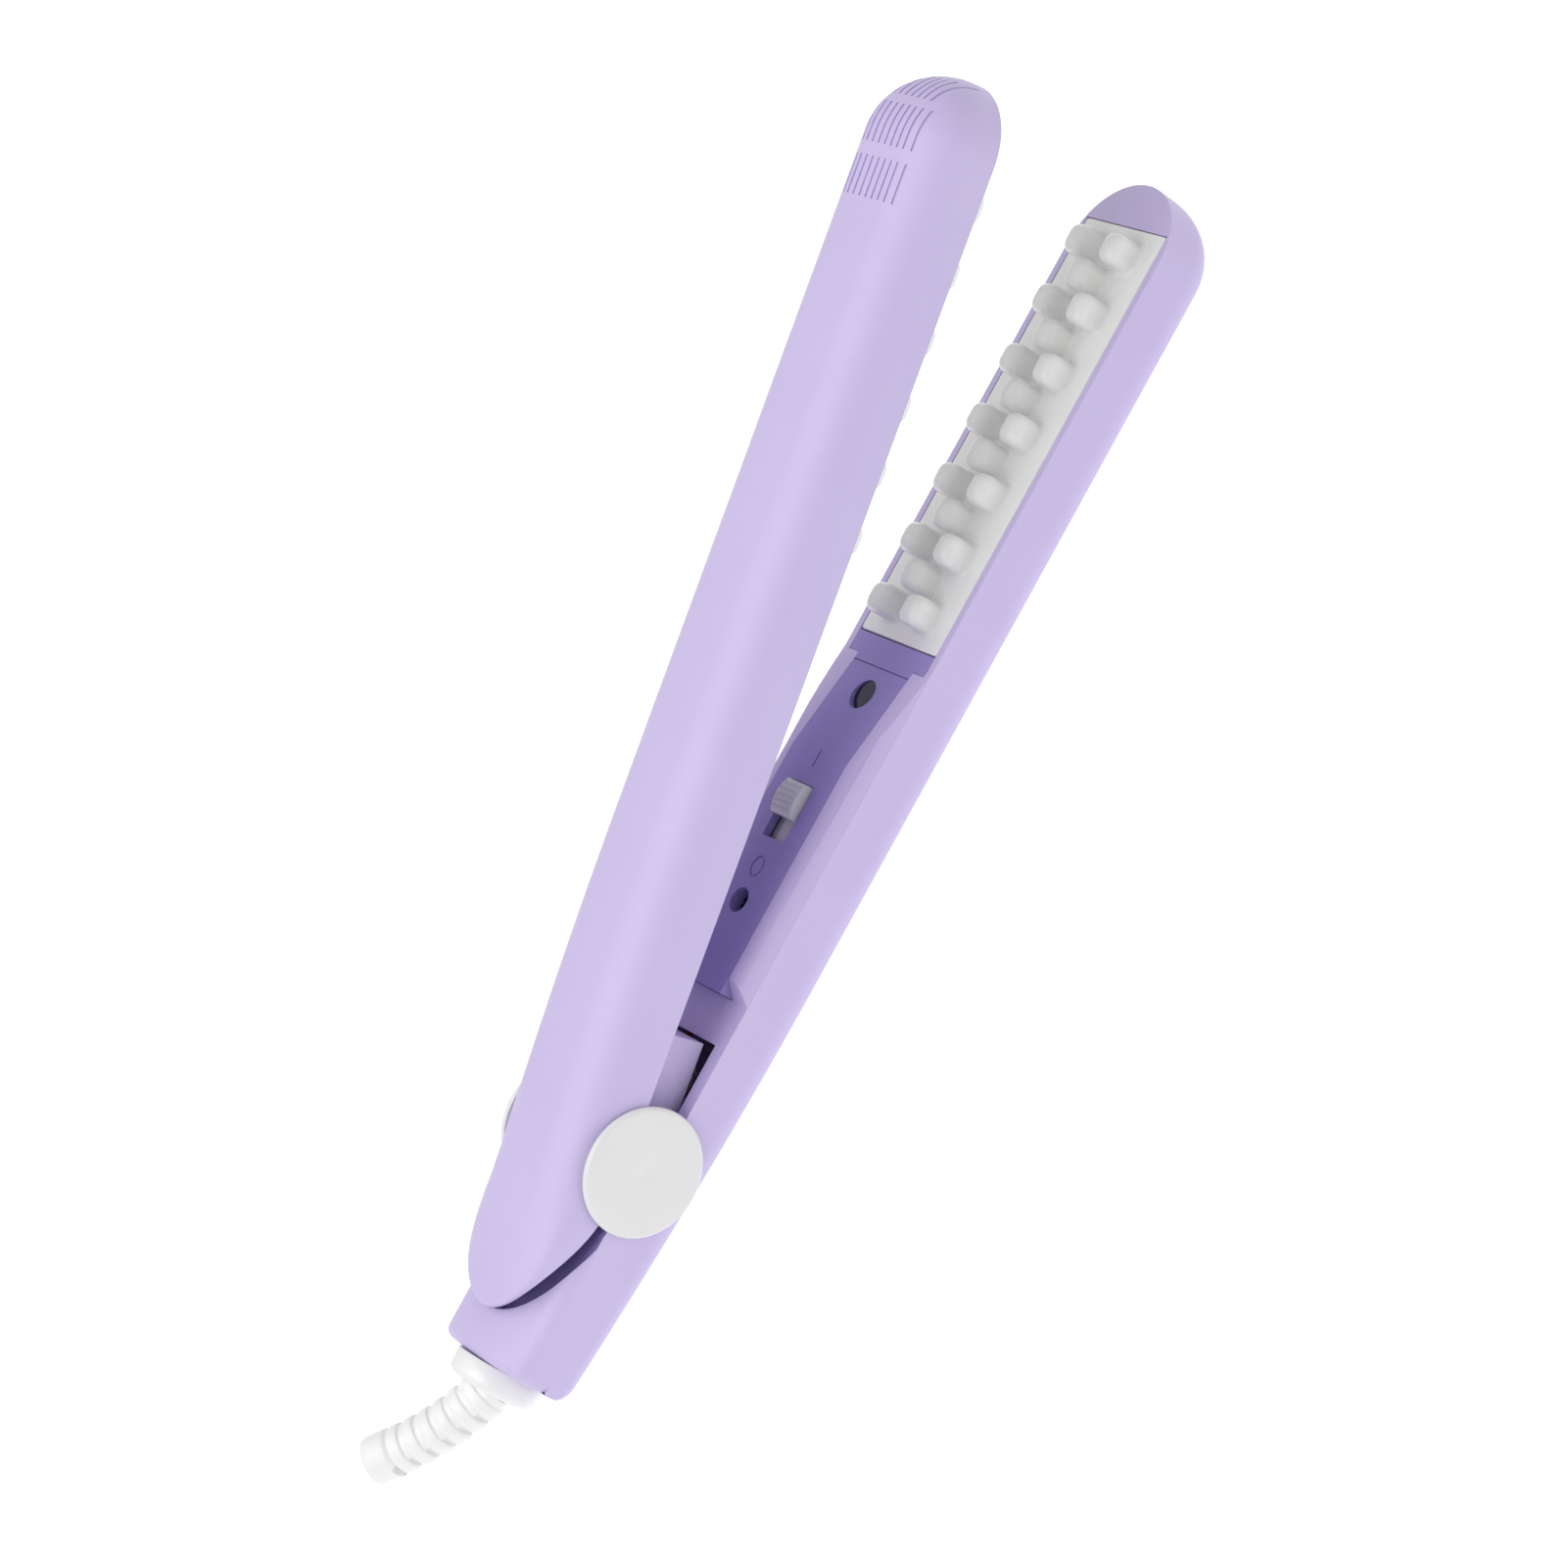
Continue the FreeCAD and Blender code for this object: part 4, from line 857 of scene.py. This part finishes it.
BOOT_RADIUS = 65.0
BOOT_START = math.radians(22)
BOOT_TURN = math.radians(20)
BOOT_LENGTH = BOOT_RADIUS * BOOT_TURN
BOOT_COLLAR = 5.5
BOOT_RINGS = 6
BOOT_CORE = 4.35
BOOT_ROLL = math.radians(-70)
BOOT_RING = 5.0
CORD_BORE = 3.0


def boot_point(out, side, along):
    """Where a point of the straight boot lands once it is bent along its arc."""
    angle = BOOT_START + min(along, BOOT_LENGTH) / BOOT_RADIUS
    centre = Vector((
        HUB_BACK + BOOT_RADIUS * math.sin(BOOT_START),
        0,
        SWIVEL_HEIGHT + BOOT_RADIUS * math.cos(BOOT_START),
    ))
    outward = Vector((-math.sin(angle), 0, -math.cos(angle)))
    onward = Vector((-math.cos(angle), 0, math.sin(angle)))
    beyond = max(0.0, along - BOOT_LENGTH)
    return centre + (BOOT_RADIUS + out) * outward + Vector((0, side, 0)) + beyond * onward


def make_boot():
    """The ribbed strain relief, with shallow slots between its ribs, bent to the far side."""
    end = BOOT_LENGTH + BOOT_COLLAR
    pitch = BOOT_LENGTH / BOOT_RINGS
    points = [(CORD_BORE, -1.2), (BOOT_CORE, -1.2)]
    for i in range(BOOT_RINGS):
        middle = pitch * (i + 0.45)
        points.append((BOOT_CORE, middle - 1.45))
        for step in range(7):
            angle = math.radians(180 * step / 6)
            points.append((
                BOOT_CORE + 0.1 + (BOOT_RING - BOOT_CORE - 0.1) * math.sin(angle) ** 0.6,
                middle - 1.25 * math.cos(angle),
            ))
        points.append((BOOT_CORE, middle + 1.45))
    points += [(BOOT_CORE, BOOT_LENGTH - 0.5), (BOOT_RING - 0.25, BOOT_LENGTH - 0.1)]
    points += [(BOOT_RING, BOOT_LENGTH + 0.3), (BOOT_RING, end - 0.9)]
    points += [(BOOT_RING - 0.25, end - 0.3)]
    points += [(BOOT_RING - 0.8, end), (CORD_BORE + 0.2, end), (CORD_BORE, end - 0.3)]
    bm = turned(points, "Z", (0, 0, 0), 64)
    windows = []
    for i in range(BOOT_RINGS):
        start = pitch * (i + 0.45) + 1.3
        windows.append(block((3.5, -2.4, start), (6.0, 2.4, start + pitch - 2.6)))
    bm = carved(bm, joined(*windows))
    for along in [end * i / 24 - 1.0 for i in range(1, 24)]:
        everything = bm.verts[:] + bm.edges[:] + bm.faces[:]
        bmesh.ops.bisect_plane(
            bm, geom=everything, dist=0.0001, plane_co=(0, 0, along), plane_no=(0, 0, 1)
        )
    for v in bm.verts:
        v.co = boot_point(*v.co)
    turn = Matrix.Rotation(BOOT_ROLL, 3, "X")
    bmesh.ops.rotate(bm, cent=(0, 0, SWIVEL_HEIGHT), matrix=turn, verts=bm.verts)
    bmesh.ops.recalc_face_normals(bm, faces=bm.faces)
    piece(
        bm, "ribbed_boot", "swivel", SOFT_PVC, ["strain_relief_boot"], crease=40
    )


# ---------------------------------------------------------------- everything else keeps its mesh

NODE_FINISH = {
    "lower_shell": SOFT_COAT,
    "lower_frame": SOFT_COAT,
    "upper_shell": SOFT_COAT,
    "upper_frame": SOFT_COAT,
    "handle_liner": VIOLET_ABS_AND_PAINTED_SHADE,
    "lower_peg_plate": GLAZE,
    "upper_peg_plate": GLAZE,
    "lower_plate_carrier": FILLED_PBT,
    "upper_plate_carrier": FILLED_PBT,
    "lower_heater": ALUMINIUM,
    "upper_heater": ALUMINIUM,
    "lower_mica_sheet": MICA,
    "upper_mica_sheet": MICA,
    "lower_heater_clamp": SPRING_STEEL,
    "upper_heater_clamp": SPRING_STEEL,
    "return_spring": SPRING_STEEL,
    "thermal_fuse": FUSE_ENAMEL,
    "lower_leads": SILICONE,
    "upper_leads": SILICONE,
    "hinge_pin": GROUND_STEEL,
    "hinge_washers": GROUND_STEEL,
    "hinge_bush": BUSH_ACETAL,
    "hinge_cap_near": SATIN_ABS,
    "hinge_cap_far": SATIN_ABS,
    "control_board": RESIST,
    "slide_switch_body": PHENOLIC,
    "indicator_lamp": SMOKED_ACRYLIC,
    "indicator_lens": SMOKED_ACRYLIC,
    "liner_screw": BLACK_OXIDE,
    "upper_screws": BLACK_OXIDE,
    "contact_brushes": BRASS,
    "slip_rings": BRASS,
    "switch_knob": ACETAL,
    "swivel_hub": GLOSS_ABS,
    "strain_relief_boot": SOFT_PVC,
}


def finish_nodes():
    for node, material in NODE_FINISH.items():
        mesh = frame["nodes"][node].data
        mesh.materials.clear()
        mesh.materials.append(material)


# ---------------------------------------------------------------- studio


def add_area(name, place, size, power, colour="#ffffff", target=(0.0, 0.0, 0.02)):
    data = bpy.data.lights.new(name, "AREA")
    data.shape = "SQUARE"
    data.size = size
    data.energy = power
    data.color = srgb(colour)[:3]
    light = bpy.data.objects.new(name, data)
    scene.collection.objects.link(light)
    light.location = place
    toward = Vector(target) - Vector(place)
    light.rotation_mode = "QUATERNION"
    light.rotation_quaternion = toward.to_track_quat("-Z", "Y")


def add_studio():
    bm = bmesh.new()
    bmesh.ops.create_grid(bm, x_segments=1, y_segments=1, size=6)
    mesh = bpy.data.meshes.new("floor")
    bm.to_mesh(mesh)
    bm.free()
    floor = bpy.data.objects.new("floor", mesh)
    floor.location = (0, 0, -0.0004)
    scene.collection.objects.link(floor)
    material, tree, shader, place = start_material("matt_paper_white")
    fibre = add(tree, "ShaderNodeTexNoise", {"Vector": place, "Scale": per_mm(60.0), "Detail": 2.0})
    tone = add(
        tree,
        "ShaderNodeMix",
        {0: fibre.outputs["Fac"], 6: srgb("#bcbcbc"), 7: srgb("#c4c4c4")},
        data_type="RGBA",
    )
    tree.links.new(tone.outputs[2], shader.inputs["Base Color"])
    finish_values(shader, Roughness=0.9, Emission_Color=srgb("#ffffff"), Emission_Strength=0.75)
    mesh.materials.append(material)
    world = bpy.data.worlds.new("studio")
    scene.world = world
    world.use_nodes = True
    world.node_tree.nodes["Background"].inputs["Color"].default_value = (1, 1, 1, 1)
    world.node_tree.nodes["Background"].inputs["Strength"].default_value = 0.47
    add_area("key", (-0.45, -0.30, 1.20), 0.9, 7.5)
    add_area("overhead", (-0.2, 0.35, 1.3), 1.0, 4.5)
    scene.view_settings.view_transform = "Standard"


finish_nodes()
make_lower_casing()
make_upper_casing()
make_frames()
make_plates()
make_liner()
make_knob()
make_spring()
make_covers()
make_hub()
make_boot()
add_camera()
add_studio()
